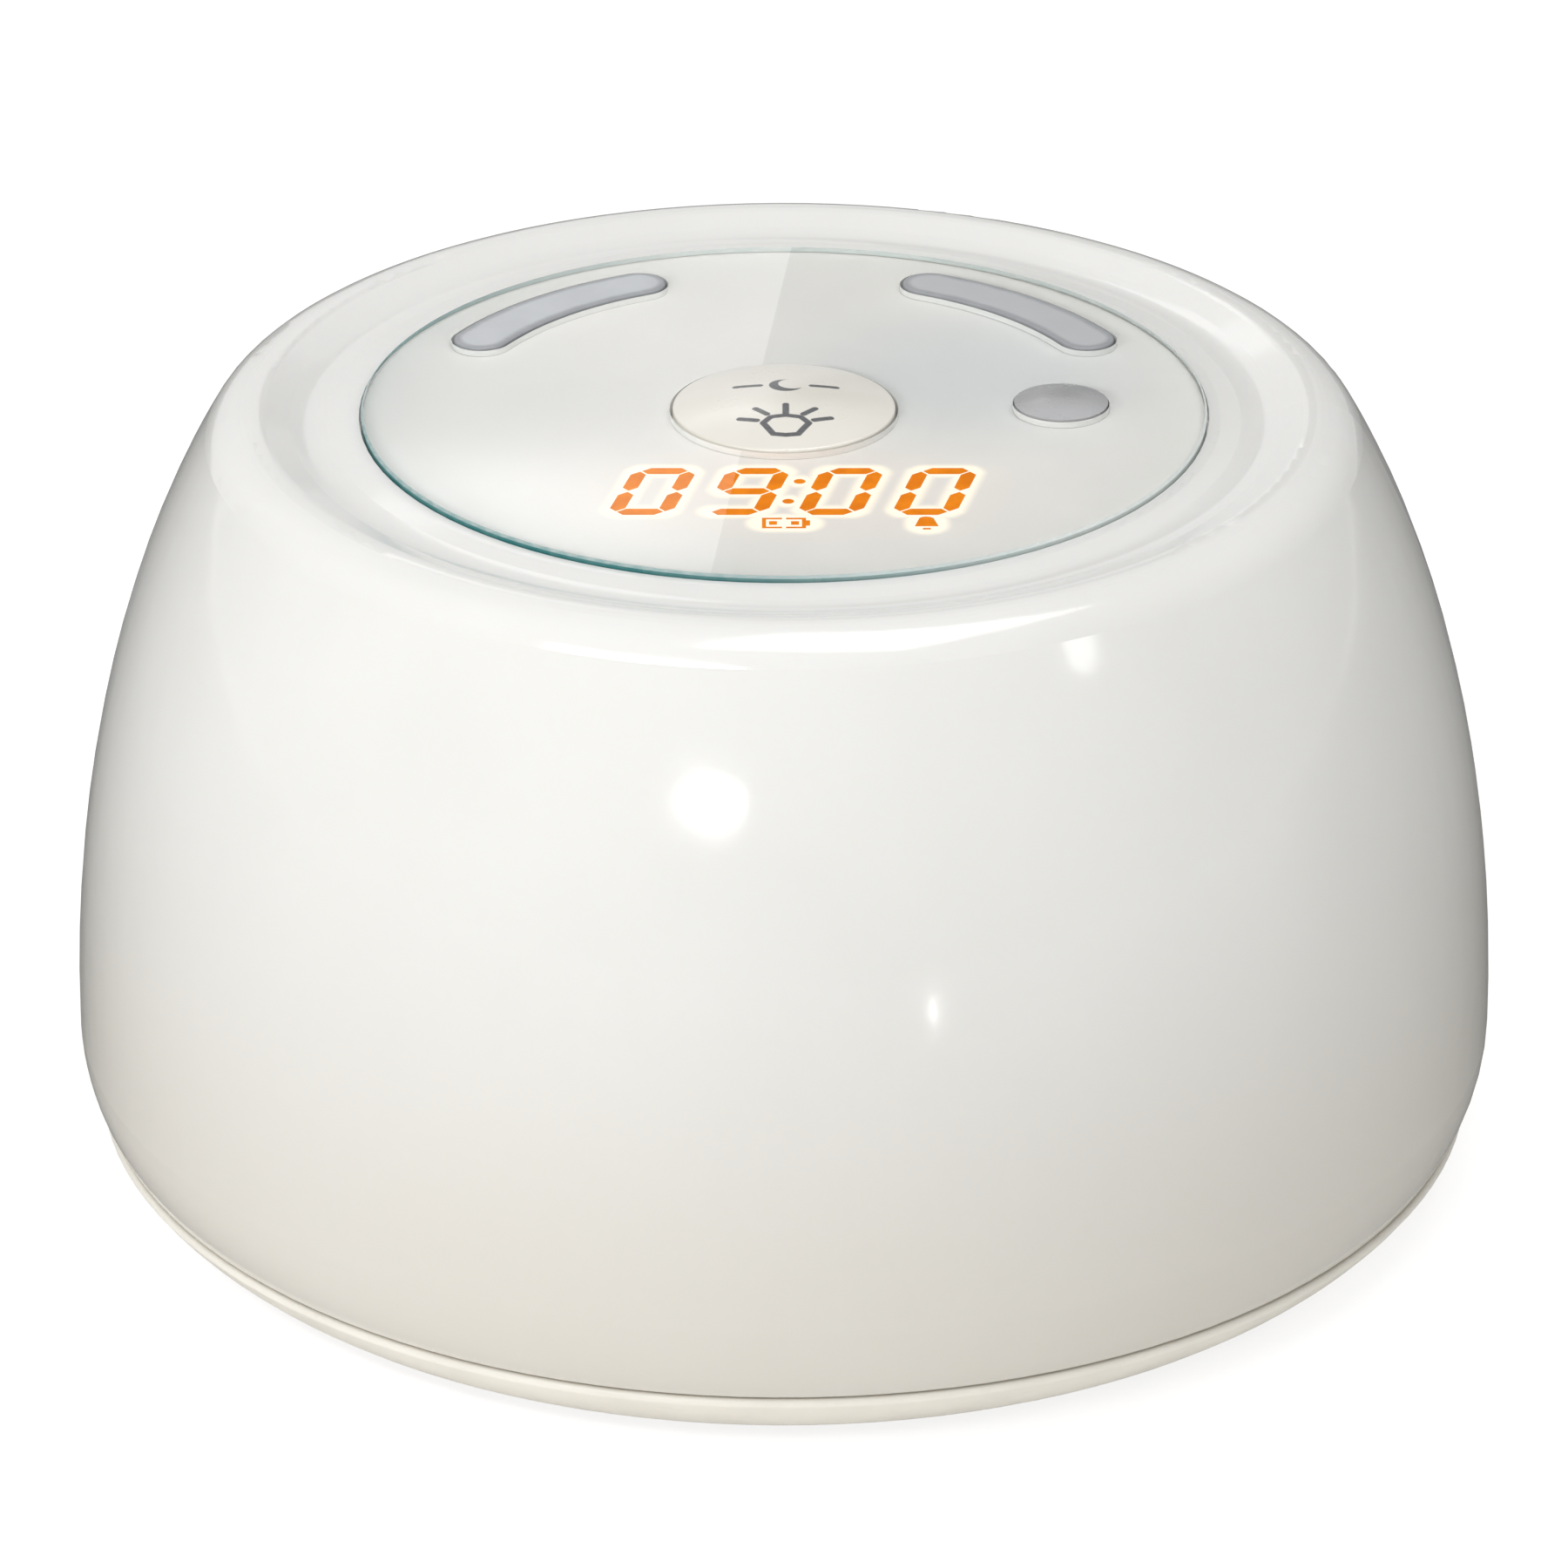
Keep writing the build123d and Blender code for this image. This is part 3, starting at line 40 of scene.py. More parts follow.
class Tree:
    """A material's node tree, with short ways to add nodes to it."""

    def __init__(self, name):
        self.material = bpy.data.materials.new(name)
        self.material.use_nodes = True
        self.tree = self.material.node_tree
        self.tree.nodes.clear()
        self.output = self.tree.nodes.new("ShaderNodeOutputMaterial")
        self.place = None

    def add(self, kind, inputs=None, **settings):
        node = self.tree.nodes.new(kind)
        for key, value in settings.items():
            setattr(node, key, value)
        for key, value in (inputs or {}).items():
            self.put(node.inputs[key], value)
        return node

    def put(self, socket, value):
        """Link a socket to the input, or set a number, a vector or a colour of three numbers on it."""
        if isinstance(value, bpy.types.NodeSocket):
            self.tree.links.new(value, socket)
        elif socket.type == "RGBA":
            socket.default_value = (*value, 1.0)
        else:
            socket.default_value = value

    def mm(self):
        """Where the point is on the part, in millimetres."""
        if self.place is None:
            coordinates = self.add("ShaderNodeTexCoord")
            scaled = self.add("ShaderNodeVectorMath",
                              {0: coordinates.outputs["Object"], "Scale": MM_PER_METRE}, operation="SCALE")
            self.place = scaled.outputs[0]
        return self.place

    def axes(self, vector):
        split = self.add("ShaderNodeSeparateXYZ", {0: vector})
        return split.outputs[0], split.outputs[1], split.outputs[2]

    def flat(self):
        """Where the point is, seen from above."""
        x, y, _ = self.axes(self.mm())
        return self.add("ShaderNodeCombineXYZ", {0: x, 1: y}).outputs[0]

    def math(self, operation, a, b=0.0, clamp=False):
        node = self.add("ShaderNodeMath", {0: a, 1: b}, operation=operation, use_clamp=clamp)
        return node.outputs[0]

    def plus(self, a, b, clamp=False):
        return self.math("ADD", a, b, clamp)

    def minus(self, a, b, clamp=False):
        return self.math("SUBTRACT", a, b, clamp)

    def times(self, a, b):
        return self.math("MULTIPLY", a, b)

    def larger(self, a, b):
        return self.math("MAXIMUM", a, b)

    def without_sign(self, value):
        return self.math("ABSOLUTE", value)

    def shift(self, vector, offset):
        return self.add("ShaderNodeVectorMath", {0: vector, 1: offset}, operation="ADD").outputs[0]

    def stretch(self, factors):
        """The place of the point with each axis scaled, for noise that is drawn out."""
        node = self.add("ShaderNodeVectorMath", {0: self.mm(), 1: factors}, operation="MULTIPLY")
        return node.outputs[0]

    def length(self, vector):
        return self.add("ShaderNodeVectorMath", {0: vector}, operation="LENGTH").outputs["Value"]

    def away(self, flat, point):
        """Distance in millimetres from a point, seen from above."""
        return self.length(self.shift(flat, (-point[0], -point[1], 0.0)))

    def ramp(self, value, low, high, start=0.0, end=1.0):
        """value from low to high becomes start to end, with soft bends."""
        limits = {"Value": value, "From Min": low, "From Max": high, "To Min": start, "To Max": end}
        node = self.add("ShaderNodeMapRange", limits, clamp=True, interpolation_type="SMOOTHSTEP")
        return node.outputs[0]

    def noise(self, grain, detail=3.0, vector=None, seed=0.0):
        """Noise whose lumps are about grain millimetres across, from 0 to 1."""
        offset = tuple(seed * step for step in SEED_STEP)
        where = self.shift(self.mm() if vector is None else vector, offset)
        node = self.add("ShaderNodeTexNoise", {"Vector": where, "Scale": 1.0 / grain, "Detail": detail,
                                               "Roughness": NOISE_ROUGHNESS})
        return node.outputs[0]

    def patches(self, grain, start=0.0, end=1.0, **noise):
        """Soft patches about grain millimetres across, from start to end."""
        return self.ramp(self.noise(grain, **noise), NOISE_LOW, NOISE_HIGH, start, end)

    def mix(self, factor, a, b):
        """Colour a where factor is 0, and colour b where it is 1."""
        node = self.add("ShaderNodeMix", {MIX_FACTOR: factor, MIX_A: a, MIX_B: b}, data_type="RGBA")
        return node.outputs[MIX_RESULT]

    def bump(self, height, depth):
        """Normal of a surface that height moves by depth, in millimetres."""
        return self.add("ShaderNodeBump", {"Height": height, "Distance": depth / MM_PER_METRE}).outputs[0]

    def principled(self, **inputs):
        """A principled shader, whose inputs are named with _ in place of spaces."""
        named = {key.replace("_", " "): value for key, value in inputs.items()}
        return self.add("ShaderNodeBsdfPrincipled", named).outputs[0]

    def diffuse(self, colour):
        return self.add("ShaderNodeBsdfDiffuse", {"Color": colour}).outputs[0]

    def transparent(self, colour=WHITE):
        return self.add("ShaderNodeBsdfTransparent", {"Color": colour}).outputs[0]

    def emission(self, colour, strength):
        return self.add("ShaderNodeEmission", {"Color": colour, "Strength": strength}).outputs[0]

    def blend(self, factor, a, b):
        """Shader a where factor is 0, and shader b where it is 1."""
        return self.add("ShaderNodeMixShader", {0: factor, 1: a, 2: b}).outputs[0]

    def capsule(self, flat, a, b):
        """Distance in millimetres from the line between two points, seen from above."""
        node = self.add("ShaderNodeGroup", node_tree=capsule_group())
        self.put(node.inputs["P"], flat)
        self.put(node.inputs["A"], (*a, 0.0))
        self.put(node.inputs["B"], (*b, 0.0))
        return node.outputs[0]

    def nearest(self, distances):
        result = distances[0]
        for distance in distances[1:]:
            result = self.math("MINIMUM", result, distance)
        return result

    def finish(self, surface):
        """The finished material, whose glow is met by rays and never picked as a lamp."""
        self.tree.links.new(surface, self.output.inputs["Surface"])
        self.material.cycles.emission_sampling = "NONE"
        return self.material


def capsule_group():
    """The node group that measures how far P is from the line between A and B, made once."""
    if "capsule" in bpy.data.node_groups:
        return bpy.data.node_groups["capsule"]
    group = bpy.data.node_groups.new("capsule", "ShaderNodeTree")
    for name in ("P", "A", "B"):
        group.interface.new_socket(name, in_out="INPUT", socket_type="NodeSocketVector")
    group.interface.new_socket("Distance", in_out="OUTPUT", socket_type="NodeSocketFloat")
    start = group.nodes.new("NodeGroupInput")
    end = group.nodes.new("NodeGroupOutput")

    def vector(operation, a, b=None):
        node = group.nodes.new("ShaderNodeVectorMath")
        node.operation = operation
        group.links.new(a, node.inputs[0])
        if b is not None:
            group.links.new(b, node.inputs[1])
        return node

    from_a = vector("SUBTRACT", start.outputs["P"], start.outputs["A"]).outputs[0]
    along = vector("SUBTRACT", start.outputs["B"], start.outputs["A"]).outputs[0]
    share = group.nodes.new("ShaderNodeMath")
    share.operation = "DIVIDE"
    share.use_clamp = True
    group.links.new(vector("DOT_PRODUCT", from_a, along).outputs["Value"], share.inputs[0])
    group.links.new(vector("DOT_PRODUCT", along, along).outputs["Value"], share.inputs[1])
    reached = vector("SCALE", along)
    group.links.new(share.outputs[0], reached.inputs["Scale"])
    gap = vector("SUBTRACT", from_a, reached.outputs[0])
    group.links.new(vector("LENGTH", gap.outputs[0]).outputs["Value"], end.inputs["Distance"])
    return group


def shade(colour, factor):
    return tuple(channel * factor for channel in colour)


# Materials of the outside. Places are in millimetres on the part, and colours are linear.

# Heights over which painted shade makes the body darker and warmer towards its base
BASE_SHADE_FROM_Z, BASE_SHADE_TO_Z = 62.0, 6.0
# Where the crease round the glass lip takes painted shade mixed with a little dust
LIP_OUTER_R, LIP_INNER_R = 46.4, 44.2
LIP_LOW_Z, LIP_HIGH_Z = 82.0, 82.9


def shell_material():
    """Milky glossy plastic with a faint orange peel, made darker and warmer towards the base by painted
    shade, and with painted shade and a little dust in the crease round the glass lip.
    """
    top_tone = (0.870, 0.860, 0.832)
    shaded_base_tone = (0.745, 0.712, 0.650)
    cloud_tone = (0.77, 0.76, 0.73)
    dust_and_shade_tone = (0.64, 0.62, 0.575)
    t = Tree("milk_white_gloss")
    _, _, z = t.axes(t.mm())
    radius = t.length(t.flat())
    # Painted shade: the body turns darker and warmer towards the base
    colour = t.mix(t.ramp(z, BASE_SHADE_FROM_Z, BASE_SHADE_TO_Z), top_tone, shaded_base_tone)
    clouds = t.ramp(t.noise(34.0, detail=2.0), 0.35, NOISE_HIGH, 0.0, 0.22)
    colour = t.mix(clouds, colour, cloud_tone)
    # Painted shade in the crease round the glass lip, broken up like dust; the dust also roughens it
    lip = t.times(t.ramp(radius, LIP_OUTER_R, LIP_INNER_R), t.ramp(z, LIP_LOW_Z, LIP_HIGH_Z))
    dust = t.times(lip, t.ramp(t.noise(2.5, seed=9.0), NOISE_LOW, 0.75))
    colour = t.mix(t.times(dust, 0.12), colour, dust_and_shade_tone)
    smears = t.noise(9.0, detail=4.0, vector=t.stretch((1.0, 1.0, 0.35)), seed=3.0)
    rough = t.plus(t.ramp(smears, NOISE_LOW, 0.75, 0.10, 0.15), t.times(dust, 0.15))
    peel = t.plus(t.noise(5.5, detail=1.0), t.times(t.noise(0.5, detail=1.0), 0.06))
    surface = t.principled(Base_Color=colour, Roughness=rough, IOR=1.46,
                           Coat_Weight=0.2, Coat_Roughness=0.06, Subsurface_Weight=0.18,
                           Subsurface_Radius=(1.0, 0.82, 0.62), Subsurface_Scale=0.0035,
                           Normal=t.bump(peel, 0.03))
    return t.finish(surface)


SCUFF_FROM_Z, SCUFF_TO_Z = 3.2, 1.6


def cream_material(name, colour):
    """Satin moulded plastic with a fine spark texture, and soft scuffs that are strongest lowest down."""
    t = Tree(name)
    _, _, z = t.axes(t.mm())
    tone = t.mix(t.ramp(t.noise(14.0), NOISE_LOW, 0.72), colour, shade(colour, 0.93))
    scratches = t.noise(2.2, detail=5.0, vector=t.stretch((0.35, 1.0, 1.0)), seed=5.0)
    scuffs = t.ramp(scratches, 0.60, 0.72)
    low = t.ramp(z, SCUFF_FROM_Z, SCUFF_TO_Z)
    worn = t.times(t.plus(t.times(low, 0.5), 0.12), scuffs)
    tone = t.mix(worn, tone, shade(colour, 0.72))
    rough = t.plus(t.patches(6.0, 0.30, 0.42, seed=2.0), t.times(worn, 0.2))
    surface = t.principled(Base_Color=tone, Roughness=rough, IOR=1.48,
                           Coat_Weight=0.08, Coat_Roughness=0.2, Subsurface_Weight=0.08,
                           Subsurface_Radius=(1.0, 0.8, 0.6), Subsurface_Scale=0.002,
                           Normal=t.bump(t.noise(0.45, detail=2.0), 0.02))
    return t.finish(surface)


GLASS_UNDER_Z, UNDER_MARGIN = 81.6, 0.02
GLASS_RIM_FROM_R, GLASS_RIM_TO_R = 42.6, 43.2
GLASS_IOR = 1.5


def glass_material():
    """Clear plate glass with ground cut-outs and a green rim, deepest at the left front and pale at the right
    and back as painted reflection.

    Lamps shine through it, and its underside bends and mirrors nothing.
    """
    deep_green = (0.03, 0.22, 0.225)
    pale_green = (0.74, 0.79, 0.775)
    cloud_green = (0.36, 0.55, 0.53)
    t = Tree("plate_glass")
    geometry = t.add("ShaderNodeNewGeometry")
    path = t.add("ShaderNodeLightPath")
    _, _, upright = t.axes(geometry.outputs["True Normal"])
    x, y, z = t.axes(t.mm())
    radius = t.length(t.flat())
    wipe = t.noise(11.0, detail=4.0, vector=t.stretch((1.0, 0.4, 1.0)))
    specks = t.ramp(t.noise(0.7, detail=1.0, seed=7.0), 0.70, 0.78)
    rough = t.plus(t.ramp(wipe, 0.35, 0.75, 0.0, 0.02), t.times(specks, 0.04))
    clear = t.add("ShaderNodeBsdfGlass", {"Color": WHITE, "Roughness": rough, "IOR": GLASS_IOR}).outputs[0]
    wall = t.ramp(t.without_sign(upright), 0.85, 0.6)
    ground = t.principled(Base_Color=t.mix(t.noise(1.2), (0.82, 0.83, 0.815), (0.87, 0.875, 0.86)),
                          Roughness=t.ramp(wipe, NOISE_LOW, NOISE_HIGH, 0.55, 0.7), Specular_IOR_Level=0.1)
    under = t.math("LESS_THAN", z, GLASS_UNDER_Z + UNDER_MARGIN)
    through = t.larger(path.outputs["Is Shadow Ray"], under)
    face = t.blend(through, t.blend(wall, clear, ground), t.transparent((0.97, 0.97, 0.965)))
    # Painted reflection: the rim turns deep green at the left front and pale at the right and back
    right_and_back = t.math("DIVIDE", t.plus(x, t.times(y, 0.6)), radius)
    green = t.mix(t.ramp(right_and_back, 0.3, -0.95), pale_green, deep_green)
    green = t.mix(t.patches(2.5, 0.0, 0.2), green, cloud_green)
    rim = t.principled(Base_Color=green, Roughness=t.ramp(wipe, NOISE_LOW, NOISE_HIGH, 0.18, 0.3),
                       IOR=GLASS_IOR)
    side = t.times(wall, t.ramp(radius, GLASS_RIM_FROM_R, GLASS_RIM_TO_R))
    return t.finish(t.blend(side, face, rim))


# Middle lines of the lit windows, from which the glow in the film spreads
DIGIT_Y = -21.1
DIGIT_SLANT = math.tan(math.radians(13.0))
DIGIT_PLACES = (-13.25, -3.75, 5.75, 15.25)
DIGIT_BARS = {
    "a": ((-2.2, 5.1), (2.2, 5.1)), "g": ((-2.2, 0.0), (2.2, 0.0)), "d": ((-2.2, -5.1), (2.2, -5.1)),
    "f": ((-2.5, 0.4), (-2.5, 4.7)), "b": ((2.5, 0.4), (2.5, 4.7)),
    "e": ((-2.5, -4.7), (-2.5, -0.4)), "c": ((2.5, -4.7), (2.5, -0.4)),
}
DIGIT_SHAPES = ("abcdef", "abcdfg", "abcdef", "abcdef")
COLON = ((1.58, -18.6), (0.42, -23.6))
DOT_LENGTH = 0.01
SYMBOLS = (((-1.6, -29.0), (1.8, -29.0)), ((14.25, -28.6), (14.25, -29.6)))
SYMBOL_REACH = 0.7
HALO_FROM, HALO_TO = 2.1, 0.8
SPREAD_FROM, SPREAD_TO = 6.5, 0.6

# Painted shade and painted light on the film, darker at the right back and at the left and paler at the left
# front: middle, where the patch ends, where it is full, its share and its colour
FILM_LIGHT_AND_SHADE_PATCHES = (
    ((20.0, 9.0), 26.0, 4.0, 0.6, (0.595, 0.628, 0.647)),
    ((-32.0, -30.0), 34.0, 8.0, 0.85, (0.89, 0.885, 0.87)),
    ((-30.0, 4.0), 26.0, 4.0, 0.6, (0.66, 0.66, 0.65)),
)


def leaning(x, point):
    """A point of a digit whose middle is at x, leaning to the right."""
    return (x + point[0] + point[1] * DIGIT_SLANT, DIGIT_Y + point[1])


def film_material():
    """Pale print under the glass, with the glow of the lit bars spreading in it."""
    halo_tone = (0.93, 0.89, 0.80)
    glow_tone = (1.0, 0.84, 0.50)
    speck_tone = (0.50, 0.51, 0.51)
    t = Tree("printed_film")
    flat = t.flat()
    bars = [t.capsule(flat, *(leaning(x, point) for point in DIGIT_BARS[bar]))
            for x, shape in zip(DIGIT_PLACES, DIGIT_SHAPES) for bar in shape]
    dots = [t.capsule(flat, (x, y), (x + DOT_LENGTH, y)) for x, y in COLON]
    symbols = [t.minus(t.capsule(flat, a, b), SYMBOL_REACH) for a, b in SYMBOLS]
    near = t.nearest(bars + dots + symbols)
    halo = t.ramp(near, HALO_FROM, HALO_TO)
    spread = t.ramp(near, SPREAD_FROM, SPREAD_TO)
    paper = t.mix(t.patches(18.0), (0.748, 0.740, 0.722), (0.720, 0.713, 0.697))
    # Painted shade and painted light, in patches on the film
    for middle, outer, inner, share, tone in FILM_LIGHT_AND_SHADE_PATCHES:
        patch = t.ramp(t.away(flat, middle), outer, inner)
        paper = t.mix(t.times(patch, share), paper, tone)
    paper = t.mix(t.times(t.noise(0.35, detail=1.0), 0.05), paper, speck_tone)
    glow = t.plus(t.times(halo, 0.17), t.times(spread, 0.025))
    surface = t.principled(Base_Color=t.mix(halo, paper, halo_tone),
                           Roughness=t.patches(5.0, 0.5, 0.62, seed=4.0),
                           Emission_Color=glow_tone, Emission_Strength=glow,
                           Normal=t.bump(t.noise(0.4, detail=1.0), 0.006))
    return t.finish(surface)


def lit_material():
    """Orange lit windows, a little uneven in tone and brightness."""
    t = Tree("lit_bars")
    lumps = t.noise(2.6, detail=2.0)
    grain = t.noise(0.25, detail=1.0, seed=3.0)
    glow = t.mix(t.ramp(lumps, NOISE_LOW, NOISE_HIGH), (0.75, 0.272, 0.0), (0.81, 0.322, 0.002))
    strength = t.plus(t.ramp(lumps, NOISE_LOW, 0.75, 0.60, 0.68), t.times(grain, 0.08))
    surface = t.principled(Base_Color=t.mix(lumps, (0.34, 0.045, 0.0), (0.40, 0.060, 0.0)),
                           Roughness=t.ramp(grain, NOISE_LOW, NOISE_HIGH, 0.45, 0.55),
                           Specular_IOR_Level=0.15, Emission_Color=glow, Emission_Strength=strength)
    return t.finish(surface)


# Marks printed on the push button: a lamp with five rays, and behind it a plain crescent between two dashes
LAMP_RAYS = (((0.18, -4.05), (0.18, -6.0)), ((-2.93, -4.85), (-1.75, -6.1)), ((3.2, -4.8), (2.0, -6.1)),
             ((-4.55, -6.8), (-2.8, -7.3)), ((4.8, -6.55), (3.1, -7.2)))
LAMP_BULB = ((-2.14, -7.87), (-1.36, -6.71), (0.18, -6.4), (1.71, -6.69), (2.56, -7.83), (1.45, -9.95),
             (0.18, -10.15), (-1.1, -9.95))
DASHES = (((-5.0, 1.05), (-2.5, 1.05)), ((2.9, 1.05), (5.4, 1.05)))
CRESCENT_MIDDLE, CRESCENT_R = (0.2, 1.05), 1.75
BITE_MIDDLE, BITE_R = (0.85, 1.45), 1.45
LINE_OUTER, LINE_INNER = 0.43, 0.27
PRINT_EDGE = 0.06
PRINT_FROM_Z, PRINT_TO_Z = 83.6, 83.9
BUTTON_MIDDLE, BUTTON_EDGE_R, BUTTON_POLISH_R = (0.0, -1.3), 11.3, 2.0


def button_material():
    """Ivory satin dome with its printed marks, a little smoother in the middle."""
    t = Tree("ivory_satin")
    flat = t.flat()
    _, _, z = t.axes(t.mm())
    bulb_lines = tuple(zip(LAMP_BULB[-1:] + LAMP_BULB, LAMP_BULB))
    lines = [t.capsule(flat, a, b) for a, b in LAMP_RAYS + bulb_lines + DASHES]
    drawn = t.ramp(t.nearest(lines), LINE_OUTER, LINE_INNER)
    disc = t.minus(t.away(flat, CRESCENT_MIDDLE), CRESCENT_R)
    bite = t.minus(BITE_R, t.away(flat, BITE_MIDDLE))
    drawn = t.larger(drawn, t.ramp(t.larger(disc, bite), PRINT_EDGE, -PRINT_EDGE))
    drawn = t.times(drawn, t.ramp(z, PRINT_FROM_Z, PRINT_TO_Z))
    ivory = t.mix(t.patches(9.0), (0.895, 0.862, 0.79), (0.86, 0.825, 0.75))
    ink = t.mix(t.patches(0.4, seed=5.0), (0.100, 0.103, 0.110), (0.140, 0.142, 0.146))
    polish = t.ramp(t.away(flat, BUTTON_MIDDLE), BUTTON_EDGE_R, BUTTON_POLISH_R)
    rough = t.minus(t.patches(3.0, 0.285, 0.315, seed=2.0), t.times(polish, 0.04))
    surface = t.principled(Base_Color=t.mix(drawn, ivory, ink), Roughness=rough, IOR=1.47,
                           Coat_Weight=0.5, Coat_IOR=1.8, Coat_Roughness=0.17,
                           Normal=t.bump(t.noise(1.5, detail=1.0), 0.002))
    return t.finish(surface)


# Middle line of each curved key, with its ends in degrees, and how far from it the painted edge shade lies
KEY_RADIUS = 36.2
KEY_ENDS = ((28.5, 64.5), (115.5, 151.5))
KEY_STEPS = 5
# Half width over which painted shade makes the right key darker than the left
KEY_SHADE_X = 20.0
KEY_EDGE_SHADE_FROM, KEY_EDGE_SHADE_TO = 1.7, 2.6


def key_lines():
    """Short straight pieces along the middle of the two curved keys."""
    lines = []
    for start, end in KEY_ENDS:
        turns = [math.radians(start + (end - start) * step / KEY_STEPS) for step in range(KEY_STEPS + 1)]
        points = [(KEY_RADIUS * math.cos(turn), KEY_RADIUS * math.sin(turn)) for turn in turns]
        lines += list(zip(points, points[1:]))
    return lines


def key_material():
    """Light grey satin keys with painted shade along their edges, and painted shade that makes the right one
    a little darker than the left.
    """
    lit_left_tone = (0.610, 0.626, 0.646)
    shaded_right_tone = (0.520, 0.528, 0.542)
    patch_tone = (0.470, 0.480, 0.498)
    key_edge_shade_tone = (0.28, 0.288, 0.305)
    t = Tree("key_grey_satin")
    flat = t.flat()
    x, _, _ = t.axes(flat)
    # Painted shade: the right key is darker than the left
    grey = t.mix(t.ramp(x, -KEY_SHADE_X, KEY_SHADE_X), lit_left_tone, shaded_right_tone)
    grey = t.mix(t.patches(6.0, 0.0, 0.3), grey, patch_tone)
    # Painted shade along the key edges, broken up by noise
    across = t.nearest([t.capsule(flat, a, b) for a, b in key_lines()])
    worn = t.ramp(t.noise(1.4, detail=4.0, seed=8.0), 0.35, 0.75, 0.0, 0.4)
    outline = t.minus(t.ramp(across, KEY_EDGE_SHADE_FROM, KEY_EDGE_SHADE_TO), t.times(worn, 0.5), clamp=True)
    grey = t.mix(t.times(outline, 0.75), grey, key_edge_shade_tone)
    surface = t.principled(Base_Color=grey, Roughness=t.patches(2.2, 0.34, 0.44, seed=4.0), IOR=1.47,
                           Normal=t.bump(t.noise(0.28, detail=1.0), 0.01))
    return t.finish(surface)


# Middle of the sensor dome, and the ranges over which its painted shade and painted light come in
LENS_MIDDLE = (28.6, 0.0)
LENS_EDGE_SHADE_R = (2.6, 5.0)
LENS_RIGHT_LIGHT_X = (27.5, 33.5)
LENS_BACK_SHADE_Y = (-0.5, 5.0)
LENS_FRONT_LIGHT_Y = (0.5, -3.8)


def lens_material():
    """Grey clouded dome of the sensor, with painted shade that darkens its edge and back, and painted light
    that makes it paler in front and at the right.
    """
    edge_shade_tone = (0.28, 0.28, 0.29)
    back_shade_tone = (0.225, 0.23, 0.24)
    lit_pale_tone = (0.54, 0.54, 0.55)
    t = Tree("lens_grey_gloss")
    x, y, _ = t.axes(t.mm())
    radius = t.away(t.flat(), LENS_MIDDLE)
    cloud_and_shading = t.mix(t.patches(2.5), (0.372, 0.370, 0.373), (0.345, 0.345, 0.35))
    # Painted shade at the edge and back, and painted light in front and at the right
    cloud_and_shading = t.mix(t.ramp(radius, *LENS_EDGE_SHADE_R, 0.0, 0.25), cloud_and_shading, edge_shade_tone)
    cloud_and_shading = t.mix(t.ramp(x, *LENS_RIGHT_LIGHT_X, 0.0, 0.3), cloud_and_shading, lit_pale_tone)
    cloud_and_shading = t.mix(t.ramp(y, *LENS_BACK_SHADE_Y, 0.0, 0.7), cloud_and_shading, back_shade_tone)
    cloud_and_shading = t.mix(t.ramp(y, *LENS_FRONT_LIGHT_Y, 0.0, 0.65), cloud_and_shading, lit_pale_tone)
    surface = t.principled(Base_Color=cloud_and_shading, Roughness=t.patches(1.6, 0.24, 0.34, seed=6.0), IOR=1.5,
                           Coat_Weight=0.15, Coat_Roughness=0.12,
                           Normal=t.bump(t.noise(1.5, detail=1.0), 0.002))
    return t.finish(surface)


# Materials of the inside and underside

SHEEN_RANGE = 0.06


def plain_material(name, colour, rough, grain=0.6, depth=0.02, specular=0.5, patch=8.0):
    """Moulded or coated part: patchy tone, uneven sheen and a fine grain."""
    t = Tree(name)
    tone = t.mix(t.patches(patch), shade(colour, 1.05), shade(colour, 0.88))
    sheen = t.patches(patch / 3.0, rough - SHEEN_RANGE, rough + SHEEN_RANGE, seed=3.0)
    surface = t.principled(Base_Color=tone, Roughness=sheen, Specular_IOR_Level=specular,
                           Normal=t.bump(t.noise(grain, detail=2.0), depth))
    return t.finish(surface)


def steel_material(name, colour):
    """Bare or plated metal with fine turning lines and dull spots."""
    t = Tree(name)
    lines = t.noise(0.5, detail=2.0, vector=t.stretch((1.0, 1.0, 6.0)))
    spots = t.ramp(t.noise(3.0, detail=4.0, seed=4.0), 0.55, 0.7)
    tone = t.mix(t.times(spots, 0.4), colour, shade(colour, 0.68))
    rough = t.plus(t.ramp(lines, NOISE_LOW, NOISE_HIGH, 0.22, 0.36), t.times(spots, 0.15))
    surface = t.principled(Base_Color=tone, Metallic=1.0, Roughness=rough, Normal=t.bump(lines, 0.01))
    return t.finish(surface)


def board_material():
    """Green solder mask over tracks, with a woven core at the cut edge."""
    t = Tree("solder_mask")
    geometry = t.add("ShaderNodeNewGeometry")
    _, _, upright = t.axes(geometry.outputs["Normal"])
    tracks = t.add("ShaderNodeTexBrick", {
        "Vector": t.mm(), "Scale": 0.22, "Mortar Size": 0.03, "Mortar": (0.05, 0.25, 0.12),
        "Color1": (0.028, 0.165, 0.075), "Color2": (0.022, 0.14, 0.062)}, offset=0.5)
    weave = t.noise(0.8, detail=1.0)
    core = t.mix(weave, (0.36, 0.38, 0.17), (0.27, 0.30, 0.13))
    edge = t.ramp(t.without_sign(upright), 0.7, 0.4)
    surface = t.principled(Base_Color=t.mix(edge, tracks.outputs["Color"], core),
                           Roughness=t.ramp(weave, NOISE_LOW, NOISE_HIGH, 0.32, 0.46),
                           Normal=t.bump(tracks.outputs["Fac"], 0.03))
    return t.finish(surface)


BAND_LENGTH, BAND_BLUR = 15.0, 0.2


